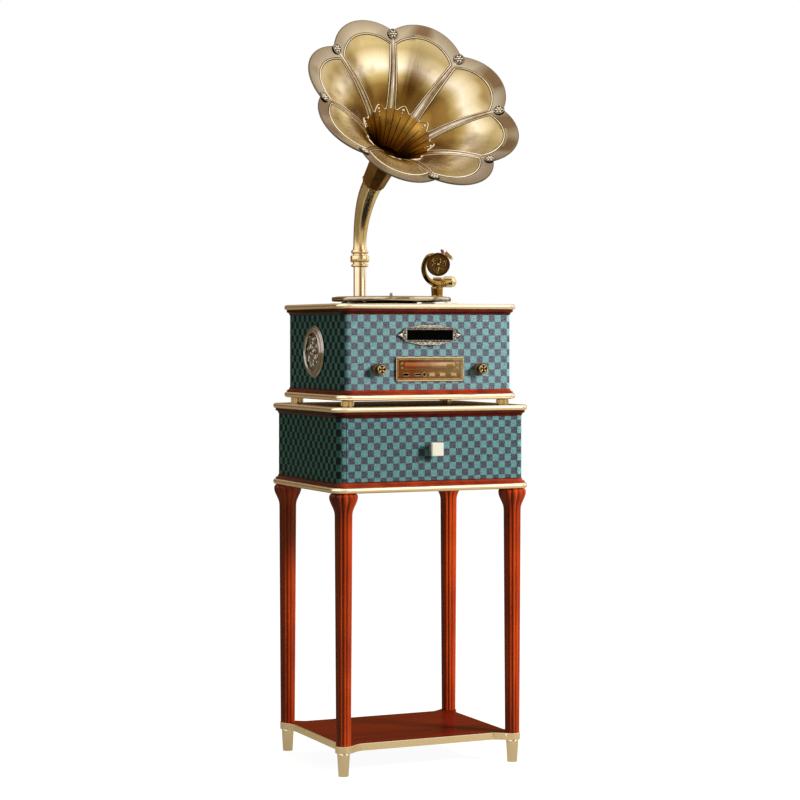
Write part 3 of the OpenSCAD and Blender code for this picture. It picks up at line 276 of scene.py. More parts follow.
def metalMaterial(name, look):
    material, tree, shader, place = startMaterial(name)
    bright = tint(look["bright"])
    # on the mirror band this change from left to right is a painted reflection
    if "right" in look:  # the colour changes from the left to the right of a front piece
        across = addNode(tree, "ShaderNodeSeparateXYZ", {0: place}).outputs[0]
        run = remap(tree, across, -45 * mm, 55 * mm)
        bright = blendColours(tree, run, bright, tint(look["right"]))
    out = placeGroup(tree, tarnishAndShade, {
        "Vector": place, "Bright": bright, "Dark": tint(look["dark"]),
        "Cloud Scale": look["clouds"], "Cloud Amount": look["amount"],
        "Recess": look.get("recess", 0.6), "Reach": look.get("reach", 0.004),
        "Polish": look["polish"], "Dullness": look["dullness"]})
    tree.links.new(out["Color"], shader.inputs["Base Color"])
    tree.links.new(out["Roughness"], shader.inputs["Roughness"])
    shader.inputs["Metallic"].default_value = 1.0
    bumpFrom(tree, shader, out["Height"], look.get("bump", 0.12), 0.0004)
    return material


def woodMaterial(name, look):
    material, tree, shader, place = startMaterial(name)
    out = placeGroup(tree, woodFigure, {
        "Vector": stretched(tree, place, look.get("along", (1, 1, 1))), "Light": tint(look["light"]),
        "Dark": tint(look["dark"]), "Scale": look["scale"]})
    tree.links.new(out["Color"], shader.inputs["Base Color"])
    tree.links.new(out["Roughness"], shader.inputs["Roughness"])
    shader.inputs["Coat Weight"].default_value = look["coat"]
    shader.inputs["Specular IOR Level"].default_value = look.get("specular", 0.05)
    shader.inputs["Coat Roughness"].default_value = look["gloss"]
    bumpFrom(tree, shader, out["Height"], 0.05, 0.0005)
    return material


def plainMaterial(name, look):
    # moulded, painted or rubber surfaces: fine texture and slow changes of tone
    material, tree, shader, place = startMaterial(name)
    fine = noiseOf(tree, place, 900.0, 2.0)
    slow = noiseOf(tree, place, 18.0, 3.0)
    mask = calc(tree, "ADD", calc(tree, "MULTIPLY", fine, 0.4), calc(tree, "MULTIPLY", slow, 0.6))
    colour = blendColours(tree, remap(tree, mask, 0.35, 0.65), tint(look["light"]), tint(look["dark"]))
    tree.links.new(colour, shader.inputs["Base Color"])
    rough = remap(tree, fine, 0.3, 0.7, look["rough"] - 0.06, look["rough"] + 0.08)
    tree.links.new(rough, shader.inputs["Roughness"])
    shader.inputs["Coat Weight"].default_value = look.get("coat", 0.0)
    shader.inputs["Specular IOR Level"].default_value = look.get("specular", 0.5)
    shader.inputs["Coat Roughness"].default_value = 0.08
    bumpFrom(tree, shader, fine, look.get("bump", 0.1), 0.0003)
    return material


# the side colours, darker slate and greener teal, are painted shade on the sides; the lower case's colours
# are the upper ones darkened, painted shade on the lower cabinet
leatherLooks = {  # row is the height at which a row of squares starts
    "upper": dict(first="#789e9f", second="#61636f", shadedSideFirst="#76aeaa", shadedSideSecond="#20352e",
                  row=942 * mm),
    "lower": dict(first="#628d8c", second="#4d4f5a", shadedSideFirst="#6ca79c", shadedSideSecond="#1b2c26",
                  row=731.4 * mm)}
leatherCloth = dict(tile=15.7 * mm, corner=18 * mm, start=-5.5 * mm)


def leatherMaterial(name, look, low, high):
    # low and high are the corners of the case that the leather goes round
    material, tree, shader, place = startMaterial(name)
    corner = leatherCloth["corner"]
    wrap = placeGroup(tree, wrapRound, {
        "Vector": place, "Flat Width": (high.x - low.x) / 2 - corner,
        "Flat Depth": (high.y - low.y) / 2 - corner, "Corner": corner})
    begin = (leatherCloth["start"], look["row"], 0)
    cloth = addNode(tree, "ShaderNodeVectorMath", {0: wrap["Vector"], 1: begin},
                    operation="SUBTRACT").outputs[0]
    # round the corners the colours turn to the side colours: painted shade on the sides
    first = blendColours(tree, wrap["Side"], tint(look["first"]), tint(look["shadedSideFirst"]))
    second = blendColours(tree, wrap["Side"], tint(look["second"]), tint(look["shadedSideSecond"]))
    out = placeGroup(tree, checkedLeather, {"Cloth": cloth, "Vector": place, "Tile": leatherCloth["tile"],
                                            "First": first, "Second": second})
    tree.links.new(out["Color"], shader.inputs["Base Color"])
    tree.links.new(out["Roughness"], shader.inputs["Roughness"])
    shader.inputs["Specular IOR Level"].default_value = 0.04
    bumpFrom(tree, shader, out["Height"], 0.35, 0.0003)
    return material


hornLook = dict(tan="#beb6a1", brown="#7a654a", cloud="#8f7238", rim="#6d6354", shade="#2b1c0a")
# share of the flare and colour there; the two ends come first, as a new ramp has them already
# the bright stops near 0.78 and 0.83 paint a reflection: a band of light across the petals
hornStops = [(0.0, "#6b4a1e"), (1.0, "#cbbd8e"), (0.2, "#9b7a3e"), (0.34, "#c6a050"), (0.42, "#a8833c"),
             (0.5, "#7f602e"), (0.64, "#8b6f3a"), (0.71, "#bba86f"), (0.78, "#f6efd8"), (0.83, "#e6dab6"),
             (0.9, "#b7a674")]


def hornMaterial(name):
    # flow runs round and along the bell, panel marks the petals' fields, and rim its rolled edge
    material, tree, shader = startMaterial(name)[:3]
    flow = addNode(tree, "ShaderNodeAttribute", attribute_name="flow").outputs["Vector"]
    panel = addNode(tree, "ShaderNodeAttribute", attribute_name="panel").outputs["Fac"]
    rim = addNode(tree, "ShaderNodeAttribute", attribute_name="rim").outputs["Fac"]
    share = addNode(tree, "ShaderNodeSeparateXYZ", {0: flow}).outputs[2]
    lines = placeGroup(tree, brushing, {"Vector": flow, "Fineness": 110.0, "Length": 3.0})
    drift = noiseOf(tree, stretched(tree, flow, (1.7, 1.7, 1.5)), 1.0, 1.5, 0.4)
    moved = calc(tree, "ADD", share, remap(tree, drift, 0.3, 0.7, -0.06, 0.06))
    # painted reflection: the ramp lays a bright band across the flare at about four fifths of its length
    field = colourRamp(tree, calc(tree, "MINIMUM", share, moved), hornStops)
    cloud = noiseOf(tree, stretched(tree, flow, (2.4, 2.4, 5.5)), 1.0, 2.0, 0.5)
    cloud = calc(tree, "MULTIPLY", remap(tree, cloud, 0.5, 0.66), 0.6)
    field = blendColours(tree, cloud, field, tint(hornLook["cloud"]))
    border = noiseOf(tree, stretched(tree, flow, (2, 2, 2)), 1.0, 1.0)
    border = calc(tree, "MAXIMUM", remap(tree, border, 0.42, 0.6), calc(tree, "MULTIPLY", rim, 1.6),
                  clamp=True)
    border = blendColours(tree, border, tint(hornLook["tan"]), tint(hornLook["brown"]))
    inField = calc(tree, "MAXIMUM", panel, softStep(tree, share, 0.46, 0.4))
    colour = blendColours(tree, inField, border, field)
    streak = remap(tree, lines["Streak"], 0.0, 1.0, 0.92, 1.06)
    shine = addNode(tree, "ShaderNodeCombineColor", {0: streak, 1: streak, 2: streak}).outputs[0]
    colour = blendColours(tree, 1.0, colour, shine, "MULTIPLY")
    colour = blendColours(tree, remap(tree, rim, 0.5, 0.9), colour, tint(hornLook["rim"]))
    # painted shade: where the ambient occlusion finds hollows, beside the raised lines, the colour turns to
    # the shade colour
    hollow = addNode(tree, "ShaderNodeAmbientOcclusion", {"Distance": 0.003}, samples=6).outputs["AO"]
    colour = blendColours(tree, remap(tree, hollow, 0.9, 0.45), colour, tint(hornLook["shade"]))
    tree.links.new(colour, shader.inputs["Base Color"])
    dull = calc(tree, "ADD", 0.2, calc(tree, "MULTIPLY", lines["Streak"], 0.1))
    tree.links.new(dull, shader.inputs["Roughness"])
    shader.inputs["Metallic"].default_value = 1.0
    bumpFrom(tree, shader, lines["Height"], 0.03, 0.0004)
    return material


# recess and reach set how much and how far hollows are darkened by ambient occlusion: partly tarnish, partly
# painted shade
metalLooks = {
    "lineBrass": dict(bright="#fff8e4", dark="#d9bd84", clouds=30.0, amount=0.25, recess=0.1, polish=0.3,
                      dullness=0.1),
    # dark strips beside the bell's raised lines and down its throat: painted shade
    "shadeStripBrass": dict(bright="#2c1d0a", dark="#140c03", clouds=30.0, amount=0.5, recess=0.1, polish=0.5,
                        dullness=0.1),
    "ribBrass": dict(bright="#fffaf0", dark="#9c7c48", clouds=11.0, amount=1.0, recess=0.1, polish=0.14,
                     dullness=0.1),
    "hornBrass": dict(bright="#f6ecd0", dark="#a98f60", clouds=9.0, amount=0.3, recess=0.3, polish=0.09,
                      dullness=0.06, bump=0.01),
    "elbowBrass": dict(bright="#f7e8be", dark="#a8823f", clouds=9.0, amount=0.4, recess=0.3, polish=0.2,
                       dullness=0.06, bump=0.01),
    "trimGold": dict(bright="#fff7e0", dark="#f2dfb4", clouds=14.0, amount=0.3, recess=0.4, polish=0.2,
                     dullness=0.1),
    "antiqueBrass": dict(bright="#b8934f", dark="#1e1305", clouds=40.0, amount=0.4, recess=1.0, reach=0.005,
                         polish=0.05, dullness=0.08, bump=0.04),
    "darkBrass": dict(bright="#5e4520", dark="#0d0802", clouds=70.0, amount=0.5, recess=1.0, reach=0.004,
                      polish=0.1, dullness=0.1, bump=0.04),
    "scrollBrass": dict(bright="#f0d7a2", dark="#4a3212", clouds=90.0, amount=0.3, recess=0.8, reach=0.0012,
                        polish=0.06, dullness=0.08, bump=0.03),
    # knob: its hollows are darkened fully by the occlusion, painted shade
    "knobBrass": dict(bright="#6f5a34", dark="#0c0702", clouds=60.0, amount=0.3, recess=1.0, reach=0.0055,
                      polish=0.02, dullness=0.05, bump=0.03),
    "footBrass": dict(bright="#fff9ea", dark="#dcc594", clouds=20.0, amount=0.2, recess=0.1, polish=0.02,
                      dullness=0.04, bump=0.01),
    "ferruleBrass": dict(bright="#efdcae", dark="#b3935a", clouds=20.0, amount=0.2, recess=0.1, polish=0.02,
                         dullness=0.04, bump=0.01),
    "polishedBrass": dict(bright="#ead29c", dark="#7a5a2a", clouds=45.0, amount=0.25, recess=0.9, polish=0.1,
                          dullness=0.12),
    "collarBrass": dict(bright="#a07a40", dark="#2a1a08", clouds=40.0, amount=0.55, polish=0.22,
                        dullness=0.2),
    "silverScroll": dict(bright="#ffffff", dark="#0f0d0b", clouds=70.0, amount=0.1, recess=1.0, reach=0.0008,
                         polish=0.1, dullness=0.1, bump=0.03),
    "antiqueSilver": dict(bright="#b4b2ac", dark="#060504", clouds=50.0, amount=0.35, recess=1.0, reach=0.009,
                          polish=0.05, dullness=0.1),
    "darkSilver": dict(bright="#454340", dark="#0f0d0b", clouds=60.0, amount=0.4, recess=1.0, reach=0.002,
                       polish=0.25, dullness=0.2),
    "rosetteSilver": dict(bright="#f4ecd8", dark="#15100a", clouds=120.0, amount=0.15, recess=1.0,
                          reach=0.005, polish=0.16, dullness=0.2),
    "plateGold": dict(bright="#6c3f22", right="#837150", dark="#2d190b", clouds=30.0, amount=0.5, recess=0.9,
                      polish=0.14, dullness=0.14),
    "reliefGold": dict(bright="#edd09a", dark="#3a2210", clouds=60.0, amount=0.4, recess=0.8, reach=0.0015,
                       polish=0.1, dullness=0.14),
    "buttonBrass": dict(bright="#c4a475", dark="#86663c", clouds=60.0, amount=0.4, recess=0.6, reach=0.002,
                        polish=0.1, dullness=0.14),
    # mirror band: copper on the left to pale on the right is a painted reflection
    "bandToneAndReflection": dict(bright="#9a5630", right="#b7a48a", dark="#6d4a2e", clouds=16.0, amount=0.6, recess=0.3,
                       polish=0.08, dullness=0.08),
    "platterMetal": dict(bright="#cbc0a8", dark="#7d705a", clouds=12.0, amount=0.3, recess=0.3, polish=0.05,
                         dullness=0.06, bump=0.02),
    "steel": dict(bright="#b5b5b5", dark="#707070", clouds=30.0, amount=0.3, polish=0.25, dullness=0.2),
}
woodLooks = {
    "mahogany": dict(light="#d94a0c", dark="#7c1602", scale=55.0, coat=0.5, gloss=0.03),
    "shelfMahogany": dict(light="#8f2409", dark="#601005", scale=30.0, coat=0.02, specular=0.02, gloss=0.1,
                          along=(0.07, 1, 12)),
    # the top coves and bottom boards face down and get a darker copy of the mahogany, painted shade; the base
    # coves face up and get a lighter copy, painted light
    "shadedMahogany": dict(light="#64190c", dark="#300703", scale=30.0, coat=0.14, gloss=0.06,
                         along=(1, 1, 14)),
    "litMahogany": dict(light="#b03a12", dark="#6a1605", scale=30.0, coat=0.2, gloss=0.06, along=(1, 1, 14)),
    "drawerWood": dict(light="#b98d60", dark="#8f6438", scale=45.0, coat=0.2, gloss=0.3, along=(0.07, 1, 12)),
    "blackLacquer": dict(light="#120e0b", dark="#080605", scale=30.0, coat=0.0, gloss=0.2, specular=0.1,
                         along=(1, 1, 14)),
}
plainLooks = {
    "creamEnamel": dict(light="#f0ece0", dark="#e2dcc8", rough=0.3, coat=0.5, bump=0.03),
    "blackPlastic": dict(light="#1c1b1a", dark="#0e0e0e", rough=0.45, bump=0.2),
    "matRubber": dict(light="#1d1c1c", dark="#101010", rough=0.6, bump=0.25),
    "beltRubber": dict(light="#151515", dark="#0a0a0a", rough=0.7),
    "windowBlack": dict(light="#030303", dark="#010101", rough=0.6, bump=0.01, specular=0.02),
    "stylusRed": dict(light="#e0202e", dark="#b8141f", rough=0.3, coat=0.6, bump=0.03),
    "boardGreen": dict(light="#2f5a3a", dark="#23472c", rough=0.5),
}
finishes = {name: metalMaterial(name, look) for name, look in metalLooks.items()}
finishes.update({name: woodMaterial(name, look) for name, look in woodLooks.items()})
finishes.update({name: plainMaterial(name, look) for name, look in plainLooks.items()})
for case, look in leatherLooks.items():
    finishes[case + "Leather"] = leatherMaterial(case + "Leather", look, *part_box(case + "_case"))
finishes["hornBell"] = hornMaterial("hornBell")
print("materials ready,", len(finishes))

nodeFinishes = {
    "footBrass": ["foot_ferrules"],
    "polishedBrass": ["cabinet_feet", "motor_pulley", "bearing_housing"],
    "buttonBrass": ["button_source", "button_play", "button_next"],
    "knobBrass": ["volume_knob", "tuning_knob"],
    "mahogany": ["leg_front_left", "leg_front_right", "leg_back_left", "leg_back_right"],
    "shelfMahogany": ["shelf_board"],
    "trimGold": ["shelf_edge_band", "lower_base_trim", "lower_top_trim", "upper_base_trim", "upper_top_trim"],
    "shadedMahogany": ["lower_bottom_board", "lower_top_cove", "upper_bottom_board", "upper_top_cove"],
    "litMahogany": ["lower_base_cove", "upper_base_cove"],
    "lowerLeather": ["lower_case", "drawer_front"],
    "upperLeather": ["upper_case", "front_panel"],
    "blackLacquer": ["lower_top_board", "deck_board"],
    "drawerWood": ["drawer_box"],
    "creamEnamel": ["drawer_knob", "tonearm_base"],
    "blackPlastic": ["back_panel", "speaker_drivers", "speed_lever"],
    "antiqueSilver": ["left_medallion", "right_medallion"],
    "darkSilver": ["display_frame"],
    "rosetteSilver": ["horn_rosettes"],
    "windowBlack": ["display_window"],
    "plateGold": ["control_plate"],
    "boardGreen": ["control_board"],
    "steel": ["leg_bolts", "drawer_runners", "motor", "spindle"],
    "beltRubber": ["drive_belt"],
    "platterMetal": ["platter"],
    "matRubber": ["platter_mat"],
    "antiqueBrass": ["tonearm_post", "tonearm_tube", "soundbox", "cartridge"],
    "stylusRed": ["stylus"],
    "hornBrass": ["horn_pipe", "horn_elbow", "horn_bell"],
    "collarBrass": ["horn_collar"],
}
softened = {  # CAD nodes with sharp edges, and the width in mm of the small round on them
    "drawer_knob": 0.8, "control_plate": 0.3, "button_source": 0.5, "button_play": 0.5, "button_next": 0.5,
    "tonearm_base": 0.8, "cartridge": 0.4, "drawer_front": 1.0, "shelf_edge_band": 0.6, "speed_lever": 0.4,
    "display_frame": 0.3, "foot_ferrules": 0.5, "platter": 0.6}

for finish, names in nodeFinishes.items():
    for name in names:
        node = cadNodes[name]
        node.data.materials.clear()
        node.data.materials.append(finishes[finish])
for name, width in softened.items():
    weld = cadNodes[name].modifiers.new("weld", "WELD")
    weld.merge_threshold = 0.01 * mm
    bevel = cadNodes[name].modifiers.new("softEdges", "BEVEL")
    bevel.width = width * mm
    bevel.segments = 2
    bevel.limit_method = "ANGLE"
    bevel.angle_limit = math.radians(35)
    bevel.harden_normals = True


# Shapes are pairs of (points, faces), joined into one mesh for each piece

halfRound = [(-0.5, -0.15), (-0.5, 0.1), (-0.36, 0.68), (0, 1), (0.36, 0.68), (0.5, 0.1), (0.5, -0.15)]


def ringSection(sides):
    return [(0.5 * math.cos(2 * math.pi * k / sides), 0.5 * math.sin(2 * math.pi * k / sides))
            for k in range(sides)]


def bridge(rings, closed=False):
    # skin over neighbouring rings of points, with flat ends unless the rings close in a loop
    count = len(rings[0])
    points = [p for ring in rings for p in ring]
    faces = []
    for i in range(len(rings) - (0 if closed else 1)):
        a, b = i * count, ((i + 1) % len(rings)) * count
        faces += [(a + k, a + (k + 1) % count, b + (k + 1) % count, b + k) for k in range(count)]
    if not closed:
        faces += [tuple(range(count - 1, -1, -1)), tuple(range(len(points) - count, len(points)))]
    return points, faces


def sweep(path, ups, section, sizes, closed=False):
    # runs the section along the path; ups gives its outward side, sizes its width and height at a share t
    rings = []
    last = len(path) - 1
    for i, point in enumerate(path):
        before = path[i - 1] if i or closed else path[i]
        after = path[(i + 1) % len(path)] if i < last or closed else path[i]
        along = (after - before).normalized()
        up = ups[i] if isinstance(ups, list) else ups
        side = along.cross(up).normalized()
        up = side.cross(along).normalized()
        width, height = sizes(i / last)
        rings.append([point + side * a * width + up * b * height for a, b in section])
    return bridge(rings, closed)


def lathe(profile, sides, place=Matrix.Identity(4), closed=False, flute=None, lift=None):
    # profile is a list of (radius, height); flute(index, angle) may change a radius and lift a height
    rings = []
    for i, (radius, height) in enumerate(profile):
        ring = []
        for k in range(sides):
            a = 2 * math.pi * k / sides
            r = radius + (flute(i, a) if flute else 0)
            rise = lift(i, a) if lift else 0
            ring.append(place @ Vector((r * math.cos(a), r * math.sin(a), height + rise)))
        rings.append(ring)
    return bridge(rings, closed)


def bead(place, size, sides=10):
    # squashed ball: size is its half extents along the place's own axes
    rows = sides // 2
    rings = []
    for i in range(rows + 1):
        b = math.pi * (i + 0.02) / (rows + 0.04) - math.pi / 2
        rings.append([place @ Vector((size[0] * math.cos(b) * math.cos(2 * math.pi * k / sides),
                                      size[1] * math.cos(b) * math.sin(2 * math.pi * k / sides),
                                      size[2] * math.sin(b))) for k in range(sides)])
    return bridge(rings)


def scroll(place, x, y, radius, start, sweepTurn, width, height, tip=0.28):
    # spiral ribbon on the place's own plane, ending in a small ball
    steps = max(10, int(abs(sweepTurn) / 14))
    path = []
    for i in range(steps + 1):
        t = i / steps
        a = math.radians(start + sweepTurn * t)
        r = radius * (1 - (1 - tip) * t)
        path.append(place @ Vector((x + r * math.cos(a), y + r * math.sin(a), 0)))
    up = (place.to_3x3() @ Vector((0, 0, 1))).normalized()
    shapes = [sweep(path, up, halfRound, lambda t: (width * (1 - 0.45 * t), height * (0.7 + 0.3 * t)))]
    end = Matrix.Translation(path[-1]) @ place.to_3x3().to_4x4()
    shapes.append(bead(end, (width * 0.6, width * 0.6, height)))
    return shapes


def leaf(place, x, y, angle, length, width, height, bend=0.0):
    # pointed leaf that starts at x, y and grows along the angle
    steps = 10
    path = []
    for i in range(steps + 1):
        t = i / steps
        a = math.radians(angle + bend * t)
        path.append(place @ Vector((x + length * t * math.cos(a), y + length * t * math.sin(a), 0)))
    up = (place.to_3x3() @ Vector((0, 0, 1))).normalized()

    def sizes(t):
        swell = math.sin(math.pi * min(1, t * 0.93 + 0.05)) ** 0.8
        return max(0.08 * width, width * swell), max(0.2 * height, height * swell)

    return [sweep(path, up, halfRound, sizes)]


def makePiece(name, shapes, finish, body, replaces=(), smoothAngle=40):
    # one mesh of all the shapes, with its finish, its body and the CAD nodes that it replaces
    points, faces = [], []
    for shapePoints, shapeFaces in shapes:
        base = len(points)
        points += [tuple(p) for p in shapePoints]
        faces += [tuple(base + i for i in face) for face in shapeFaces]
    mesh = bpy.data.meshes.new(name)
    mesh.from_pydata(points, [], faces)
    mesh.polygons.foreach_set("use_smooth", [True] * len(mesh.polygons))
    mesh.set_sharp_from_angle(angle=math.radians(smoothAngle))
    mesh.materials.append(finishes[finish])
    piece = bpy.data.objects.new(name, mesh)
    scene.collection.objects.link(piece)
    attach(piece, body)
    if replaces:
        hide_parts(*replaces)
    return piece


def middle(name):
    low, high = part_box(name)
    return (low + high) / 2


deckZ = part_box("upper_top_trim")[1].z
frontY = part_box("front_panel")[0].y


# Legs: reeded shafts that open into a lobed capital

legLook = dict(reeds=12, perReed=10, length=567 * mm, footR=17 * mm, topR=20.5 * mm, capitalR=32.8 * mm,
               capitalH=52 * mm, lip=0.16, lipDrop=8 * mm, depth=2.6 * mm, shaft=0.89)


def legRadius(z):
    # the shaft widens evenly, then opens into the capital, whose lip rounds back in at the top
    fromTop = (legLook["length"] - z) / legLook["capitalH"]
    shaft = legLook["footR"] + (legLook["topR"] - legLook["footR"]) * z / legLook["length"]
    if fromTop >= 1:
        return shaft
    lip = legLook["lip"]
    if fromTop > lip:
        below = (fromTop - lip) / (1 - lip)
        return shaft + (legLook["capitalR"] - shaft) * math.cos(math.pi / 2 * below) ** 2.4
    above = (lip - fromTop) / lip
    return legLook["capitalR"] - legLook["lipDrop"] * (1 - math.sqrt(max(0, 1 - above ** 2)))


def legRing(place, z):
    count = legLook["reeds"] * legLook["perReed"]
    ring = []
    for k in range(count):
        across = abs(2 * (k % legLook["perReed"]) / legLook["perReed"] - 1)
        r = legRadius(z)
        r -= legLook["depth"] * r / legLook["topR"] * across ** 2.4
        a = 2 * math.pi * k / count
        ring.append(place + Vector((r * math.cos(a), r * math.sin(a), z)))
    return ring


def buildLegs():
    # the rings stand closer together in the capital
    shaft = legLook["shaft"]
    shares = [i / 24 * shaft for i in range(25)]
    shares += [shaft + (1 - shaft) * (1 - (1 - i / 30) ** 1.35) for i in range(1, 31)]
    for name in nodeFinishes["mahogany"]:
        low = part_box(name)[0]
        place = Vector((middle(name).x, middle(name).y, low.z))
        rings = [legRing(place, legLook["length"] * t) for t in shares]
        makePiece(name.replace("leg_", "reeded_leg_"), [bridge(rings)], "mahogany", "cabinet",
                  [name], 50)


buildLegs()
print("legs done")


# Horn: a place on the bell is an angle round it and a share of the flare

bell = dict(neckR=30 * mm, mouthR=224 * mm, flare=1.65, out=20 * mm, dish=9 * mm, sheet=1.6 * mm,
            rimR=2.3 * mm, collar=80 * mm, lap=10 * mm, length=200 * mm, petals=8, turn=-1.9, perPetal=32,
            insideRows=44, outsideRows=24)
pipe = dict(radius=15 * mm, bend=179.4 * mm, turn=53.7, rise=91.5 * mm, coupling=48 * mm, endR=24 * mm,
            wall=2 * mm, socket=14 * mm, tail=14 * mm)
pipeX, pipeY = middle("horn_pipe").x, middle("horn_pipe").y
pipeTop = deckZ + pipe["rise"]
elbowZ = pipeTop + pipe["coupling"]
hornFrame = (Matrix.Translation((pipeX, pipeY - pipe["bend"], elbowZ))
             @ Matrix.Rotation(math.radians(pipe["turn"]), 4, "X")
             @ Matrix.Translation((0, pipe["bend"], pipe["tail"])))
bellFrame = hornFrame @ Matrix.Rotation(math.radians(bell["turn"]), 4, "Z")
flareLength = bell["length"] - bell["lap"]
flareGain = (bell["mouthR"] - bell["neckR"]) / (math.exp(bell["flare"]) - 1)
petalHalf = math.pi / bell["petals"]
petalBulge = bell["out"] + bell["mouthR"] * (1 - math.cos(petalHalf))
petalArcR = ((bell["mouthR"] * math.sin(petalHalf)) ** 2 + petalBulge ** 2) / (2 * petalBulge)
petalArcX = bell["mouthR"] + bell["out"] - petalArcR


def flareRadius(s):
    # the flare is exponential; s is the share of its length
    return bell["neckR"] + flareGain * (math.exp(bell["flare"] * s) - 1)


def flareSlope(s):
    return flareGain * bell["flare"] * math.exp(bell["flare"] * s) / flareLength


def flareShare(r):
    return math.log(1 + (r - bell["neckR"]) / flareGain) / bell["flare"]


def petalEdge(a):
    # distance from the axis to a petal's edge, at an angle from the petal's middle
    return petalArcX * math.cos(a) + math.sqrt(petalArcR ** 2 - (petalArcX * math.sin(a)) ** 2)


def bellPoint(angle, s, off=0.0):
    # off is the height over the inner face, outwards of the horn
    u = (angle - math.pi / 2) / petalHalf % 2 - 1
    dish = bell["dish"] * (1 - u * u) * max(0, s) ** 1.5
    slope = flareSlope(s)
    size = math.sqrt(1 + slope * slope)
    r = flareRadius(s) + dish + off / size
    z = bell["collar"] + bell["lap"] + flareLength * s - off * slope / size
    return bellFrame @ Vector((r * math.cos(angle), r * math.sin(angle), z))


def bellInside(angle, s):
    # point on the inner face and the direction into the open horn there
    step = 0.004
    point = bellPoint(angle, s)
    about = bellPoint(angle + step, s) - bellPoint(angle - step, s)
    along = bellPoint(angle, s + step) - bellPoint(angle, s - step)
    normal = about.cross(along).normalized()
    inward = bellFrame.to_3x3() @ Vector((-math.cos(angle), -math.sin(angle), 0.6))
    return point, normal if normal.dot(inward) > 0 else -normal


panelLook = dict(gap=6 * mm, gapSpread=4.5 * mm, inner=79 * mm, inset=28 * mm, lineW=3 * mm, lineH=1.6 * mm,
                 throatW=1.5 * mm, throatH=0.7 * mm, shadeStripW=5.6 * mm, shadeStripH=0.5 * mm, ribW=6.6 * mm,
                 ribH=1.3 * mm, ribShort=14 * mm, throatLow=33 * mm, throatShort=11 * mm, bracketW=2.8 * mm,
                 bracketH=2 * mm, hump=5.6 * mm, curl=2.4 * mm)
bracketKnobs = ((0.5, 3.4), (5, 2.4), (9, 1.5))  # how far under the bracket, and radius, in mm
archR = petalArcR - panelLook["inset"]
footOffset = petalArcX * math.sin(petalHalf) - panelLook["gap"]
archFoot = math.hypot(petalArcX * math.cos(petalHalf) + math.sqrt(archR ** 2 - footOffset ** 2),
                      panelLook["gap"])


def sideAngle(r):
    # the ribs between the fields widen towards the throat
    wider = panelLook["gapSpread"] * max(0, min(1, (archFoot - r) / (archFoot - panelLook["inner"])))
    return petalHalf - math.asin(min(1, (panelLook["gap"] + wider) / r))


def archPoint(t):
    # t runs from -1 to 1 over the arch, which runs beside the petal's edge
    corner = sideAngle(archFoot)
    limit = math.atan2(archFoot * math.sin(corner), archFoot * math.cos(corner) - petalArcX)
    x = petalArcX + archR * math.cos(t * limit)
    y = archR * math.sin(t * limit)
    return math.atan2(y, x), math.hypot(x, y)


def insidePanel(a, r):
    # 1 in a petal's field, 0 on its border and on the ribs; a is the angle from the petal's middle
    if abs(a) > sideAngle(r):
        return 0.0
    apart = math.hypot(r * math.cos(a) - petalArcX, r * math.sin(a))
    return 1.0 if r * math.cos(a) < petalArcX or apart < archR else 0.0


def buildBell():
    # one closed sheet: inner face, rolled rim and outer face, with the values that its material needs
    count = bell["petals"] * bell["perPetal"]
    points, flows, panels, rims = [], [], [], []

    def add(angle, s, off, a, rim, neck=False):
        r = bell["neckR"] + off
        start = bellFrame @ Vector((r * math.cos(angle), r * math.sin(angle), bell["collar"]))
        points.append(start if neck else bellPoint(angle, s, off))
        flows.append((math.cos(angle), math.sin(angle), s))
        panels.append(insidePanel(a, flareRadius(s)) if off == 0 else 0.5)
        rims.append(rim)

    for k in range(count):
        angle = math.pi / 2 + 2 * math.pi * k / count
        a = (k % bell["perPetal"]) / bell["perPetal"] * 2 * petalHalf - petalHalf
        edge = flareShare(petalEdge(a))
        perMetre = 1 / (flareLength * math.sqrt(1 + flareSlope(edge) ** 2))
        add(angle, 0, 0, a, 0, True)
        for i in range(bell["insideRows"] + 1):
            share = i / bell["insideRows"]
            add(angle, edge * share, 0, a, 0.4 * max(0, (share - 0.92) / 0.08))
        for b in range(20, 280, 20):
            turn = math.radians(b)
            over = bell["rimR"] * math.sin(turn) * perMetre
            add(angle, edge + over, bell["rimR"] * (1 - math.cos(turn)), a, 1)
        for i in range(bell["outsideRows"], -1, -1):
            share = (edge - bell["rimR"] * perMetre) * i / bell["outsideRows"]
            add(angle, share, bell["sheet"], a, 0)
        add(angle, 0, bell["sheet"], a, 0, True)
    rows = len(points) // count
    faces = []
    for k in range(count):
        for i in range(rows):
            here, across = k * rows, (k + 1) % count * rows
            faces.append((here + i, here + (i + 1) % rows, across + (i + 1) % rows, across + i))
    piece = makePiece("petalled_bell", [(points, faces)], "hornBell", "horn", ["horn_bell"], 60)
    stored = (("flow", "FLOAT_VECTOR", flows), ("panel", "FLOAT", panels), ("rim", "FLOAT", rims))
    for name, kind, values in stored:
        attribute = piece.data.attributes.new(name, kind, "POINT")
        if kind == "FLOAT":
            attribute.data.foreach_set("value", values)
        else:
            attribute.data.foreach_set("vector", [c for v in values for c in v])


def hornLine(places, width, height):
    # raised line on the bell's inner face through (angle, radius) places
    path, ups = [], []
    for angle, r in places:
        point, normal = bellInside(angle, flareShare(r))
        path.append(point)
        ups.append(normal)
    return sweep(path, ups, halfRound, lambda t: (width, height))


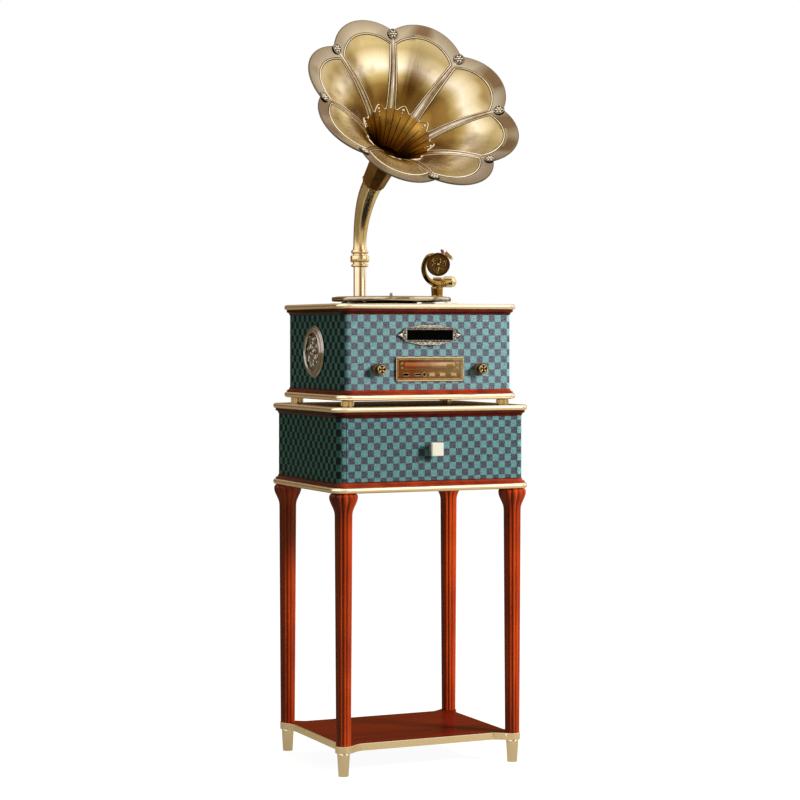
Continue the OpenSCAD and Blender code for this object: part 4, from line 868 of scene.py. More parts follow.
def buildPanels():
    # lines, dark strips of painted shade beside them and down the throat, ribs and brackets on the bell's
    # inner face
    lines, shadeStrips, ribs, ornaments = [], [], [], []
    inner = panelLook["inner"]
    ribTop = bell["mouthR"] - panelLook["ribShort"]
    throatLow, throatHigh = panelLook["throatLow"], inner - panelLook["throatShort"]
    steps = 30
    for k in range(bell["petals"]):
        mid = math.pi / 2 + petalHalf * (2 * k + 1)
        rise = [inner + (archFoot - inner) * i / steps for i in range(steps + 1)]
        arch = [(mid + a, r) for a, r in (archPoint(-1 + 2 * i / 48) for i in range(49))]
        outline = [(mid - sideAngle(r), r) for r in rise] + arch[1:-1]
        outline += [(mid + sideAngle(r), r) for r in reversed(rise)]
        lines.append(hornLine(outline, panelLook["lineW"], panelLook["lineH"]))
        shadeStrips.append(hornLine(outline, panelLook["shadeStripW"], panelLook["shadeStripH"]))
        # rounded rib between two petals' fields, up to the rosette
        rib = [(mid - petalHalf, inner + (ribTop - inner) * i / steps) for i in range(steps + 1)]
        ribs.append(hornLine(rib, panelLook["ribW"], panelLook["ribH"]))
        # bracket that closes the field: a low hump with curled ends over three small knobs
        half = sideAngle(inner)
        bracket = []
        for i in range(steps + 1):
            x = -1 + 2 * i / steps
            hump = panelLook["hump"] * math.exp(-(x / 0.4) ** 2)
            hump -= panelLook["curl"] * math.exp(-((abs(x) - 0.74) / 0.2) ** 2)
            bracket.append((mid + x * half, inner + hump))
        ornaments.append(hornLine(bracket, panelLook["bracketW"], panelLook["bracketH"]))
        for drop, size in bracketKnobs:
            knobPoint, knobUp = bellInside(mid, flareShare(inner - drop * mm))
            turnUp = knobUp.to_track_quat("Z", "Y").to_matrix().to_4x4()
            ornaments.append(bead(Matrix.Translation(knobPoint) @ turnUp, (size * mm, size * mm, 1.8 * mm)))
        # fine dark lines down the throat, painted shade of its grooves, one in the middle of each petal and
        # one at each side
        down = [throatLow + (throatHigh - throatLow) * i / 12 for i in range(13)]
        shadeStrips.append(hornLine([(mid, r) for r in down], panelLook["throatW"], panelLook["throatH"]))
        for side in (-1, 1):
            shadeStrips.append(hornLine([(mid + side * half, r) for r in down + [inner - 3 * mm]],
                                    panelLook["throatW"], panelLook["throatH"]))
    makePiece("bell_lines", lines, "lineBrass", "horn", (), 50)
    makePiece("bell_shade_strips", shadeStrips, "shadeStripBrass", "horn", (), 50)
    makePiece("bell_ribs", ribs, "ribBrass", "horn", (), 50)
    makePiece("bell_ornaments", ornaments, "lineBrass", "horn", (), 50)


seamLook = dict(start=0.02, run=0.94, width=3.2 * mm, height=1.1 * mm)


def buildSeams():
    # folded seams down the outside of the bell, one behind each notch
    seams = []
    for k in range(bell["petals"]):
        angle = math.pi / 2 + 2 * petalHalf * k
        path, ups = [], []
        for i in range(31):
            s = seamLook["start"] + seamLook["run"] * i / 30
            point, normal = bellInside(angle, s)
            path.append(point - normal * bell["sheet"])
            ups.append(-normal)
        seams.append(sweep(path, ups, halfRound, lambda t: (seamLook["width"], seamLook["height"])))
    makePiece("bell_seams", seams, "hornBrass", "horn")


rosetteLook = dict(radius=13 * mm, inset=6.5 * mm, up=0.7 * mm, leaves=6, dots=20)


def buildRosettes():
    # a dark cup with six round leaves, a heart and a ring of small dots, one in each notch of the bell
    shapes, bases = [], []
    radius, leaves, dots = rosetteLook["radius"], rosetteLook["leaves"], rosetteLook["dots"]
    for k in range(bell["petals"]):
        angle = math.pi / 2 + 2 * petalHalf * k
        point, normal = bellInside(angle, flareShare(bell["mouthR"] - rosetteLook["inset"]))
        facing = normal.to_track_quat("Z", "Y").to_matrix().to_4x4()
        place = Matrix.Translation(point + normal * rosetteLook["up"]) @ facing
        cup = [(0.2 * mm, -0.2 * mm), (radius, -0.2 * mm), (radius, 1.2 * mm), (radius * 0.96, 1.9 * mm),
               (radius * 0.84, 2.0 * mm), (radius * 0.78, 1.2 * mm), (0.2 * mm, 1.3 * mm)]
        bases.append(lathe(cup, 32, place))
        for j in range(leaves):
            spoke = place @ Matrix.Rotation(2 * math.pi / leaves * j, 4, "Z")
            leafPlace = spoke @ Matrix.Translation((radius * 0.48, 0, 1.4 * mm))
            shapes.append(bead(leafPlace, (radius * 0.27, radius * 0.21, 1.9 * mm)))
        for j in range(dots):
            spoke = place @ Matrix.Rotation(2 * math.pi / dots * j, 4, "Z")
            dotPlace = spoke @ Matrix.Translation((radius * 0.88, 0, 1.9 * mm))
            shapes.append(bead(dotPlace, (1.2 * mm, 1.2 * mm, 0.8 * mm), 6))
        heart = place @ Matrix.Translation((0, 0, 2 * mm))
        shapes.append(bead(heart, (radius * 0.25, radius * 0.25, 2.4 * mm)))
    makePiece("rosettes", shapes, "rosetteSilver", "horn", ["horn_rosettes"], 50)
    makePiece("rosette_bases", bases, "darkSilver", "horn", (), 40)


def elbowRing(t, radius, sides=48):
    # ring round the bent pipe's middle line, at a share t of its turn
    a = math.radians(pipe["turn"]) * t
    ring = []
    for k in range(sides):
        c = radius * math.cos(2 * math.pi * k / sides)
        s = radius * math.sin(2 * math.pi * k / sides)
        ring.append(Vector((pipeX + c, pipeY - pipe["bend"] + (pipe["bend"] + s) * math.cos(a),
                            elbowZ + (pipe["bend"] + s) * math.sin(a))))
    return ring


def easeIn(t):
    t = max(0, min(1, t))
    return t * t * (3 - 2 * t)


couplingRings = ((0.3, 7, 20.5), (11.5, 17, 22.5), (32, 9.6, 20.5))  # start, height and radius in mm


def buildElbow():
    # bent tube that widens towards the bell
    steps = 40
    low, high = pipe["radius"] + 0.5 * mm, pipe["endR"]
    outer, inner = [], []
    for i in range(steps + 1):
        t = -0.01 + 1.01 * i / steps
        radius = low + (high - low) * easeIn(t * 0.95)
        outer.append(elbowRing(t, radius))
        inner.append(elbowRing(t, radius - pipe["wall"]))
    axis = hornFrame.to_3x3() @ Vector((0, 0, 1))
    tail = axis * (pipe["tail"] + pipe["socket"] * 0.95)
    outer.append([p + tail for p in outer[-1]])
    inner.append([p + tail for p in inner[-1]])
    shapes = [bridge(outer + inner[::-1], closed=True)]
    # coupling sleeve: three rings with fine grooves, round the straight pipe
    r = pipe["radius"] + 1.5 * mm
    profile = [(r, 0.0)]
    soft = 1.1 * mm
    for start, height, ringR in couplingRings:
        ringR *= mm
        base = start * mm
        top = (start + height) * mm
        profile += [(r, base), (ringR - 2 * soft, base + 0.2 * mm), (ringR - 0.4 * soft, base + soft),
                    (ringR, base + 2 * soft), (ringR, top - 2 * soft), (ringR - 0.4 * soft, top - soft),
                    (ringR - 2 * soft, top - 0.2 * mm), (r, top)]
    sleeveTop = pipe["coupling"] - 0.2 * mm
    profile += [(r, sleeveTop), (pipe["radius"] - 3.4 * mm, sleeveTop), (pipe["radius"] - 1.4 * mm, 0.0)]
    shapes.append(lathe(profile, 64, Matrix.Translation((pipeX, pipeY, pipeTop + 0.3 * mm)), closed=True))
    makePiece("elbow", shapes, "elbowBrass", "horn", ["horn_elbow"], 40)


collarLook = dict(lowR=28.8 * mm, highR=34.5 * mm, boreR=24.4 * mm, cornerTurn=0.035, beadUp=2.2 * mm)


def buildCollar():
    # eight flat sides that open upwards, with a dark bead round the lower end
    rings, inner = [], []
    low, bore = collarLook["lowR"], collarLook["boreR"]
    for i in range(17):
        t = i / 16
        r = low + (collarLook["highR"] - low) * t ** 1.15
        z = bell["collar"] * t
        ring, hollow = [], []
        for k in range(8):
            for edge in (-1, 1):
                a = math.pi / 4 * k + edge * collarLook["cornerTurn"]
                ring.append(hornFrame @ Vector((r * math.cos(a), r * math.sin(a), z)))
                hollow.append(hornFrame @ Vector((bore * math.cos(a), bore * math.sin(a), z)))
        rings.append(ring)
        inner.append(hollow)
    makePiece("octagonal_collar", [bridge(rings + inner[::-1], closed=True)], "collarBrass", "horn",
              ["horn_collar"], 15)
    path = []
    for k in range(64):
        a = 2 * math.pi * k / 64
        wall = math.cos(math.pi / 8) / math.cos((a + math.pi / 8) % (math.pi / 4) - math.pi / 8)
        r = low * min(1, wall)
        path.append(hornFrame @ Vector((r * math.cos(a), r * math.sin(a), collarLook["beadUp"])))
    up = hornFrame.to_3x3() @ Vector((0, 0, 1))
    makePiece("collar_bead", [sweep(path, up, ringSection(8), lambda t: (2.4 * mm, 3.2 * mm), closed=True)],
              "antiqueBrass", "horn")


buildBell()
buildPanels()
buildSeams()
buildRosettes()
buildElbow()
buildCollar()
print("horn done")


# Tone arm: z is up and the reach runs along -Y of the arm's own frame

arm = dict(yaw=24.3, hingeUp=57.5 * mm, headUp=37 * mm, reach=158 * mm, curlR=31 * mm, wider=14 * mm,
           rootOut=12 * mm, tipShort=6 * mm, rootR=7.5 * mm, tipR=4.5 * mm, start=-60, sweep=212,
           inShare=0.74, endShare=0.97, boxR=27.5 * mm, boxT=12 * mm, weightR=13.5 * mm, weightL=31 * mm,
           headHalf=10 * mm)
armPost = middle("tonearm_post")
armFrame = (Matrix.Translation((armPost.x, armPost.y, deckZ + arm["hingeUp"]))
            @ Matrix.Rotation(math.radians(-arm["yaw"]), 4, "Z"))
boxFrame = (armFrame @ Matrix.Translation((0, -arm["reach"] - 0.3 * mm, arm["headUp"]))
            @ Matrix.Rotation(math.pi / 2, 4, "X"))


def curlPoint(t):
    # a loose curl round the line of the reach, which it winds in to at the sound box
    a = math.radians(arm["start"] - arm["sweep"] * t)
    if t < arm["inShare"]:
        r = arm["curlR"] + arm["wider"] * (1 - easeIn(t / arm["inShare"]))
    else:
        r = arm["curlR"] * (1 - ((t - arm["inShare"]) / (1 - arm["inShare"])) ** 2)
    forward = -arm["rootOut"] - (arm["reach"] - arm["rootOut"] - arm["tipShort"]) * t
    return armFrame @ Vector((r * math.cos(a), forward, arm["headUp"] + r * math.sin(a)))


coilSteps = 110
coil = [curlPoint(arm["endShare"] * i / coilSteps) for i in range(coilSteps + 1)]
armBack = armFrame.to_3x3() @ Vector((0, 1, 0))


def tubeWidth(t):
    return 2 * (arm["rootR"] + (arm["tipR"] - arm["rootR"]) * arm["endShare"] * t)


def buildArmWeight():
    # pin across the hinge with a round weight on its end
    across = armFrame @ Matrix.Rotation(math.pi / 2, 4, "Y")
    half = arm["headHalf"]
    pin = [(0.1 * mm, -half - 4 * mm), (6.2 * mm, -half - 4 * mm), (7 * mm, -half - 3.2 * mm),
           (7 * mm, -half - 0.4 * mm), (4 * mm, -half - 0.3 * mm), (4 * mm, half + 0.3 * mm),
           (10.4 * mm, half + 0.3 * mm), (10.5 * mm, half + 5.6 * mm), (9 * mm, half + 6 * mm)]
    r, start = arm["weightR"], half + 6 * mm
    pin += [(r - 0.8 * mm, start), (r, start + 0.8 * mm), (r, start + 4 * mm),
            (r - 0.6 * mm, start + 4.6 * mm), (r - 0.6 * mm, start + 5.4 * mm), (r, start + 6 * mm)]
    for i in range(11):
        b = math.pi / 2 * i / 10
        pin.append((max(0.1 * mm, r * math.cos(b)), start + arm["weightL"] - r + r * math.sin(b)))
    makePiece("arm_weight", [lathe(pin, 48, across)], "ferruleBrass", "arm", (), 35)


def buildArmRails():
    # three raised lines of lighter brass along the tube, partly real ridges and partly painted highlights
    highlightRails = []
    for turn in (30, 90, 150):
        lean = math.radians(turn)
        path, ups = [], []
        for i in range(3, coilSteps):
            t = arm["endShare"] * i / coilSteps
            a = math.radians(arm["start"] - arm["sweep"] * t)
            radial = armFrame.to_3x3() @ Vector((math.cos(a), 0, math.sin(a)))
            off = radial * math.cos(lean) - armBack * math.sin(lean)
            path.append(coil[i] + off * tubeWidth(t) * 0.48)
            ups.append(off)
        highlightRails.append(sweep(path, ups, halfRound, lambda t: (1.7 * mm, 0.9 * mm)))
    makePiece("arm_highlight_rails", highlightRails, "ferruleBrass", "arm", (), 50)


def buildToneArm():
    # coiled tube with turned rings, and the neck that goes into the sound box
    shapes = [sweep(coil, armBack, ringSection(24), lambda t: (tubeWidth(t), tubeWidth(t)))]
    for share in (0.05, 0.075, 0.1, 0.2, 0.215, 0.88, 0.9):
        i = int(share * coilSteps)
        along = (coil[i + 1] - coil[i - 1]).normalized()
        place = Matrix.Translation(coil[i]) @ along.to_track_quat("Z", "Y").to_matrix().to_4x4()
        r = tubeWidth(share) / 2
        shapes.append(lathe([(r - 1 * mm, -1.2 * mm), (r + 0.9 * mm, -0.9 * mm), (r + 1.3 * mm, 0),
                             (r + 0.9 * mm, 0.9 * mm), (r - 1 * mm, 1.2 * mm)], 24, place, closed=True))
    neckPlace = Matrix.Translation((0, 14 * mm - arm["reach"], arm["headUp"]))
    neck = armFrame @ neckPlace @ Matrix.Rotation(math.pi / 2, 4, "X")
    shapes.append(lathe([(0.1 * mm, 0), (7 * mm, 0), (8 * mm, 1 * mm), (8 * mm, 4 * mm), (7.2 * mm, 5 * mm),
                         (7.2 * mm, 9 * mm), (8 * mm, 10 * mm), (8 * mm, 14 * mm), (3 * mm, 14 * mm),
                         (3 * mm, 19 * mm), (0.1 * mm, 19 * mm)], 32, neck))
    makePiece("coiled_tone_arm", shapes, "antiqueBrass", "arm", ["tonearm_tube"], 35)


def buildSoundBox():
    # round cup, with scrolls, leaves and a ring of small beads on its face
    r, t = arm["boxR"], arm["boxT"]
    profile = [(3.05 * mm, 0), (r - 1 * mm, 0), (r, 1 * mm), (r, 3.2 * mm), (r - 1.6 * mm, 4.4 * mm),
               (r - 1.6 * mm, t - 4.4 * mm), (r, t - 3.2 * mm), (r, t - 1 * mm), (r - 1 * mm, t),
               (r - 3 * mm, t), (r - 3.8 * mm, t - 0.8 * mm), (r - 4.4 * mm, t - 2.8 * mm),
               (0.1 * mm, t - 3 * mm), (0.1 * mm, 7 * mm), (3.05 * mm, 7 * mm)]
    makePiece("scroll_sound_box", [lathe(profile, 64, boxFrame, closed=True)], "darkBrass", "sound_head",
              ["soundbox"], 40)
    shapes = []
    face = boxFrame @ Matrix.Translation((0, 0, t - 3.1 * mm))
    for k in range(3):
        turn = face @ Matrix.Rotation(2 * math.pi / 3 * k, 4, "Z")
        shapes += scroll(turn, 11.5 * mm, 0, 8 * mm, 150, -420, 2.6 * mm, 2.4 * mm)
        shapes += scroll(turn, 15 * mm, 10 * mm, 4.6 * mm, -60, 330, 1.9 * mm, 2.0 * mm)
        shapes += leaf(turn, 5 * mm, 4 * mm, 70, 14 * mm, 2.8 * mm, 2.2 * mm, 30)
    shapes += [bead(face, (3.6 * mm, 3.6 * mm, 3.2 * mm), 16)]
    for k in range(40):
        a = 2 * math.pi * k / 40
        spot = (25.6 * mm * math.cos(a), 25.6 * mm * math.sin(a), t - 0.5 * mm)
        shapes.append(bead(boxFrame @ Matrix.Translation(spot), (0.9 * mm, 0.9 * mm, 0.5 * mm), 6))
    makePiece("sound_box_scrolls", shapes, "scrollBrass", "sound_head", (), 45)


guardLook = dict(long=(-0.57, 0.26, 0.78), size=(4.4 * mm, 3.4 * mm, 6.2 * mm))


def buildStylusGuard():
    # small red guard round the stylus
    lean = Vector(guardLook["long"]).to_track_quat("Z", "Y").to_matrix().to_4x4()
    guard = bead(Matrix.Translation(middle("stylus")) @ lean, guardLook["size"], 12)
    makePiece("stylus_guard", [guard], "stylusRed", "sound_head", (), 50)


buildArmWeight()
buildArmRails()
buildToneArm()
buildSoundBox()
buildStylusGuard()
print("tone arm done")


# Ornaments on the cabinets

def facePlace(origin, out):
    # plane with its own x to the right and y up, seen from outside
    z = Vector(out)
    y = Vector((0, 0, 1))
    x = y.cross(z)
    turn = Matrix((x, y, z)).transposed().to_4x4()
    return Matrix.Translation(origin) @ turn


displayLook = dict(windowW=114 * mm, windowH=22 * mm, frameH=53 * mm, bezel=2.2 * mm, sink=2.9 * mm,
                   relief=2 * mm)


def frameEdge(x):
    # height of the frame's scalloped edge over the window's middle
    return displayLook["frameH"] / 2 - 10.5 * mm * abs(x / (60 * mm)) ** 1.4


def buildDisplayScrolls():
    # a row of scrolls and leaves above and below the window, curls at both ends, and beads along the edge
    low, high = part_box("display_frame")
    place = facePlace(Vector((0, frontY - displayLook["sink"], (low.z + high.z) / 2)), (0, -1, 0))
    halfW = displayLook["windowW"] / 2
    inner = displayLook["windowH"] / 2 + displayLook["bezel"]
    tall = displayLook["relief"]
    shapes = []
    for mirrorX in (1, -1):
        for mirrorY in (1, -1):
            flip = place @ Matrix.Diagonal((mirrorX, mirrorY, 1, 1))
            x = 6 * mm
            turn = 1
            while x < 58 * mm:
                room = frameEdge(x) - inner
                r = max(1.4 * mm, min(4.6 * mm, room / 2 - 0.9 * mm))
                y = inner + r + 0.2 * mm
                shapes += scroll(flip, x, y, r, 90 - 110 * turn, 400 * turn, 0.56 * r, tall)
                over = frameEdge(x + r) - y - r * 0.4
                longLeaf, shortLeaf = min(5 * mm, over), min(4.4 * mm, over)
                shapes += leaf(flip, x + r * 0.75, y + r * 0.35, 62, longLeaf, 2.2 * mm, tall, 30)
                shapes += leaf(flip, x - r * 0.75, y + r * 0.5, 112, shortLeaf, 1.9 * mm, tall, -25)
                x += 1.85 * r + 0.5 * mm
                turn = -turn
            shapes += scroll(flip, halfW + 6 * mm, 6.6 * mm, 3.8 * mm, 110, -400, 1.8 * mm, tall)
            shapes += scroll(flip, halfW + 4.6 * mm, 12.6 * mm, 2.2 * mm, 200, -360, 1.2 * mm, tall)
            shapes += leaf(flip, halfW + 9 * mm, 3.4 * mm, 12, 8.5 * mm, 3 * mm, tall, -30)
            for k in range(15):
                x = 17 * mm + 3.1 * mm * k
                spot = flip @ Matrix.Translation((x, frameEdge(x) - 1.9 * mm, 0))
                shapes.append(bead(spot, (1.5 * mm, 1.3 * mm, tall * 0.8), 8))
        end = place @ Matrix.Diagonal((mirrorX, 1, 1, 1))
        shapes += leaf(end, halfW + 9 * mm, 0, 0, 14 * mm, 4.4 * mm, tall)
        shapes.append(bead(end @ Matrix.Translation((halfW + 5 * mm, 0, 0)), (2.2 * mm, 2.2 * mm, tall), 12))
    for mirrorY in (1, -1):
        crest = place @ Matrix.Diagonal((1, mirrorY, 1, 1))
        shapes += leaf(crest, 0, inner + 0.4 * mm, 90, 11 * mm, 3.6 * mm, tall)
    ridge = roundedLoop(place, displayLook["windowW"] + 3.4 * mm, displayLook["windowH"] + 3.4 * mm, 1 * mm)
    shapes.append(sweep(ridge, Vector((0, -1, 0)), halfRound, lambda t: (1.9 * mm, tall + 0.5 * mm),
                        closed=True))
    makePiece("display_scrolls", shapes, "silverScroll", "cabinet", (), 50)


def roundedLoop(place, width, height, corner, steps=6):
    # closed outline of a rectangle with round corners
    path = []
    for k, (sx, sy) in enumerate(((1, 1), (-1, 1), (-1, -1), (1, -1))):
        for i in range(steps + 1):
            a = math.pi / 2 * (k + i / steps)
            path.append(place @ Vector((sx * (width / 2 - corner) + corner * math.cos(a),
                                        sy * (height / 2 - corner) + corner * math.sin(a), 0)))
    return path


plateLook = dict(inset=3.6 * mm, across=26, acrossHalf=78 * mm, down=8, downHalf=20 * mm, rowY=-12 * mm,
                 jackX=-13.7 * mm)
# place along the row, width and height of each frame in mm: two sockets and three buttons
plateFrames = ((-60, 13, 5), (-30, 15, 3.2), (4, 14.6, 7.6), (30.5, 14.6, 7.6), (59, 14.6, 7.6))
bandLook = dict(half=63 * mm, tall=14 * mm, rise=8.6 * mm, raised=(43 * mm, 59 * mm))


def buildPlateRelief():
    # bright edge, leaves and beads on the border, fine frames on the sunk field and the band above them
    low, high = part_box("control_plate")
    plateZ = (low.z + high.z) / 2
    width, height = high.x - low.x, high.z - low.z
    place = facePlace(Vector((0, low.y + 0.75 * mm, plateZ)), (0, -1, 0))
    top = facePlace(Vector((0, low.y, plateZ)), (0, -1, 0))
    up = Vector((0, -1, 0))
    edge = sweep(roundedLoop(top, width - 2.2 * mm, height - 2.2 * mm, 4 * mm), up, halfRound,
                 lambda t: (1.9 * mm, 0.8 * mm), closed=True)
    makePiece("plate_edge", [edge], "ferruleBrass", "cabinet", (), 50)
    shapes = [sweep(roundedLoop(place, width - 11 * mm, height - 11 * mm, 2 * mm), up, halfRound,
                    lambda t: (1.4 * mm, 0.9 * mm), closed=True)]
    # running pattern of small leaves and beads round the border
    inset, across, down = plateLook["inset"], plateLook["across"], plateLook["down"]
    for sy in (-1, 1):
        y = sy * (height / 2 - inset)
        for k in range(across):
            x = plateLook["acrossHalf"] * (2 * k / (across - 1) - 1)
            shapes += leaf(top, x - 1.6 * mm, y, 20 * (-1) ** k, 3.6 * mm, 1.6 * mm, 0.7 * mm)
            dot = top @ Matrix.Translation((x + 3.1 * mm, y, 0))
            shapes.append(bead(dot, (0.8 * mm, 0.8 * mm, 0.6 * mm), 8))
    for sx in (-1, 1):
        x = sx * (width / 2 - inset)
        for k in range(down):
            y = plateLook["downHalf"] * (2 * k / (down - 1) - 1)
            shapes += leaf(top, x, y - 1.6 * mm, 90 + 20 * (-1) ** k, 3.6 * mm, 1.6 * mm, 0.7 * mm)
    # fine frames round the sockets and the buttons
    rowY = plateLook["rowY"]
    for x, w, h in plateFrames:
        spot = place @ Matrix.Translation((x * mm, rowY, 0))
        shapes.append(sweep(roundedLoop(spot, (w + 1.8) * mm, (h + 1.8) * mm, 0.9 * mm, 4), up, halfRound,
                            lambda t: (1.1 * mm, 0.8 * mm), closed=True))
    jack = place @ Matrix.Translation((plateLook["jackX"], rowY, 0))
    shapes.append(sweep(roundedLoop(jack, 9 * mm, 9 * mm, 4.49 * mm, 8), up, halfRound,
                        lambda t: (1.6 * mm, 1.0 * mm), closed=True))
    # small scrolls at both ends of the band
    for sx in (-1, 1):
        flip = place @ Matrix.Diagonal((sx, 1, 1, 1))
        shapes += scroll(flip, 70 * mm, 12 * mm, 3.6 * mm, 180, -400, 1.4 * mm, 0.8 * mm)
        shapes += scroll(flip, 70 * mm, 4.5 * mm, 3 * mm, 180, 400, 1.3 * mm, 0.8 * mm)
    makePiece("plate_relief", shapes, "reliefGold", "cabinet", (), 50)
    band = facePlace(Vector((0, low.y + 1.6 * mm, plateZ + bandLook["rise"])), (0, -1, 0))
    path = [band @ Vector((x, 0, 0)) for x in (-bandLook["half"], bandLook["half"])]
    section = [(-0.5, 0), (-0.5, 0.6), (-0.44, 0.85), (-0.2, 1), (0.2, 1), (0.44, 0.85), (0.5, 0.6), (0.5, 0)]
    plate = sweep(path, up, section, lambda t: (bandLook["tall"], 1.1 * mm))
    makePiece("mirror_band", [plate], "bandToneAndReflection", "cabinet", (), 50)
    # short raised field at the band's right end, and a thin dark line under the band, a painted shadow of the
    # band
    path = [band @ Vector((x, -0.6 * mm, 0)) for x in bandLook["raised"]]
    marks = [sweep(path, up, section, lambda t: (9 * mm, 1.4 * mm))]
    path = [band @ Vector((x, -8.2 * mm, 0)) for x in (-bandLook["half"], bandLook["half"])]
    marks.append(sweep(path, up, section, lambda t: (1.2 * mm, 0.9 * mm)))
    makePiece("band_end_and_shadow_line", marks, "collarBrass", "cabinet", (), 50)


# outline of a knob in mm, from the panel outwards
knobSkirt = [(0.1, 0), (11, 0), (13.4, 0.4), (13.9, 1.4), (13.9, 3.2), (13.2, 4.2), (11.6, 4.8)]
knobWaist = [(10.6, 5.6), (10.2, 7), (10.4, 8.2), (11.6, 8.8)]
knobGrip = [(12.2, 9.6), (12.3, 11), (12.3, 19), (12.1, 20.4)]
knobFront = [(11.4, 21.6), (10.2, 22.6), (9.6, 23), (8.8, 22.6), (8, 21.9), (5, 21.4), (3.4, 21.4),
             (2.8, 22.2), (1.5, 22.7), (0.1, 22.8)]
knobLook = dict(gap=0.5 * mm, flutes=24, fluteDepth=0.45 * mm, hollows=4, hollowDepth=2.2 * mm)


def buildKnob(name, piece):
    # stepped turned knob: skirt, waist, fluted grip and a face with four hollows
    centre = middle(name)
    place = facePlace(Vector((centre.x, frontY - knobLook["gap"], centre.z)), (0, -1, 0))
    gripStart = len(knobSkirt + knobWaist)
    grip = range(gripStart, gripStart + len(knobGrip))
    hollow = range(grip.stop + 3, grip.stop + 7)

    def flute(i, a):
        if i in grip:
            return -knobLook["fluteDepth"] * (0.5 + 0.5 * math.cos(knobLook["flutes"] * a))
        return 0.0

    def lift(i, a):
        if i in hollow:
            share = 0.5 if i in (hollow[0], hollow[-1]) else 1
            return -knobLook["hollowDepth"] * (0.5 + 0.5 * math.cos(knobLook["hollows"] * a)) * share
        return 0.0

    profile = [(r * mm, z * mm) for r, z in knobSkirt + knobWaist + knobGrip + knobFront]
    shapes = [lathe(profile, 96, place, flute=flute, lift=lift)]
    stem = [(0.1 * mm, -28 * mm), (3 * mm, -28 * mm), (3 * mm, 1 * mm), (0.1 * mm, 1 * mm)]
    shapes.append(lathe(stem, 24, place))
    makePiece(piece, shapes, "knobBrass", name, [name], 30)
    # bright rim and four bright leaves on the ridges between the hollows: painted highlights of the face
    ring = [(8.9 * mm, 22.4 * mm), (10.6 * mm, 22.1 * mm), (10.3 * mm, 22.9 * mm), (9.6 * mm, 23.3 * mm)]
    face = [lathe(ring, 64, place, closed=True)]
    top = place @ Matrix.Translation((0, 0, 21.3 * mm))
    for turn in (45, 135, 225, 315):
        a = math.radians(turn)
        face += leaf(top, 2 * mm * math.cos(a), 2 * mm * math.sin(a), turn, 7.6 * mm, 3.6 * mm, 1.7 * mm)
    makePiece(piece + "_painted_highlights", face, "ferruleBrass", name, (), 50)


medallionLook = dict(radius=60, fieldR=43.4 * mm, cordR=52.9 * mm, cordUp=6.9 * mm, cordBeads=72,
                     cordLean=0.7)  # radius in mm, as its rings are


def buildMedallion(side, name):
    # stepped rings, a twisted cord and a field of scrolls on the side wall
    low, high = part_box(name)
    wallX = low.x if side > 0 else high.x
    place = facePlace(Vector((wallX, 0, (low.z + high.z) / 2)), (side, 0, 0))
    r = medallionLook["radius"]
    rings = [(r - 17, 0), (r - 1, 0), (r, 0.8), (r, 2.2), (r - 1.2, 3.2), (r - 3.2, 3.6), (r - 3.6, 4.4),
             (r - 4.6, 5.6), (r - 6.6, 6), (r - 7.2, 6.6), (r - 8, 7.8), (r - 10, 8.2), (r - 10.8, 8.8),
             (r - 12, 9.8), (r - 14, 9.8), (r - 15.6, 9), (r - 16.4, 7.4), (r - 17, 4)]
    shapes = [lathe([(a * mm, b * mm) for a, b in rings], 96, place, closed=True)]
    fieldR, cordBeads = medallionLook["fieldR"], medallionLook["cordBeads"]
    shapes.append(lathe([(0.1 * mm, 0), (fieldR, 0), (fieldR, 2 * mm), (0.1 * mm, 3.4 * mm)], 64, place))
    lean = Matrix.Rotation(medallionLook["cordLean"], 4, "Z")
    for k in range(cordBeads):  # cord in the hollow between two rings
        spoke = place @ Matrix.Rotation(2 * math.pi * k / cordBeads, 4, "Z")
        spot = spoke @ Matrix.Translation((medallionLook["cordR"], 0, medallionLook["cordUp"]))
        shapes.append(bead(spot @ lean, (1.9 * mm, 1.1 * mm, 1 * mm), 6))
    for k in range(4):
        turn = place @ Matrix.Rotation(math.pi / 2 * k, 4, "Z") @ Matrix.Translation((0, 0, 2.6 * mm))
        shapes += scroll(turn, 17 * mm, 8 * mm, 11 * mm, 210, -470, 4.4 * mm, 3.4 * mm)
        shapes += scroll(turn, 31 * mm, -7 * mm, 7.6 * mm, 60, 430, 3.4 * mm, 3 * mm)
        shapes += leaf(turn, 6 * mm, 2 * mm, 20, 17 * mm, 5 * mm, 3.2 * mm, 40)
        shapes += leaf(turn, 20 * mm, 20 * mm, 20, 15 * mm, 4.6 * mm, 3 * mm, -60)
        shapes += leaf(turn, 26 * mm, 2 * mm, 35, 14 * mm, 4 * mm, 3 * mm, 30)
        shapes += leaf(turn, 28 * mm, 24 * mm, -60, 12 * mm, 3.6 * mm, 2.6 * mm, 50)
    shapes.append(bead(place @ Matrix.Translation((0, 0, 3 * mm)), (6 * mm, 6 * mm, 4.4 * mm), 16))
    makePiece(name.replace("_medallion", "_scroll_medallion"), shapes, "antiqueSilver", "cabinet",
              [name], 45)


matLook = dict(boreR=4.3, label=48, firstRib=50, plainEdge=6, ribs=26, step=0.6, ribUp=0.7)  # sizes in mm


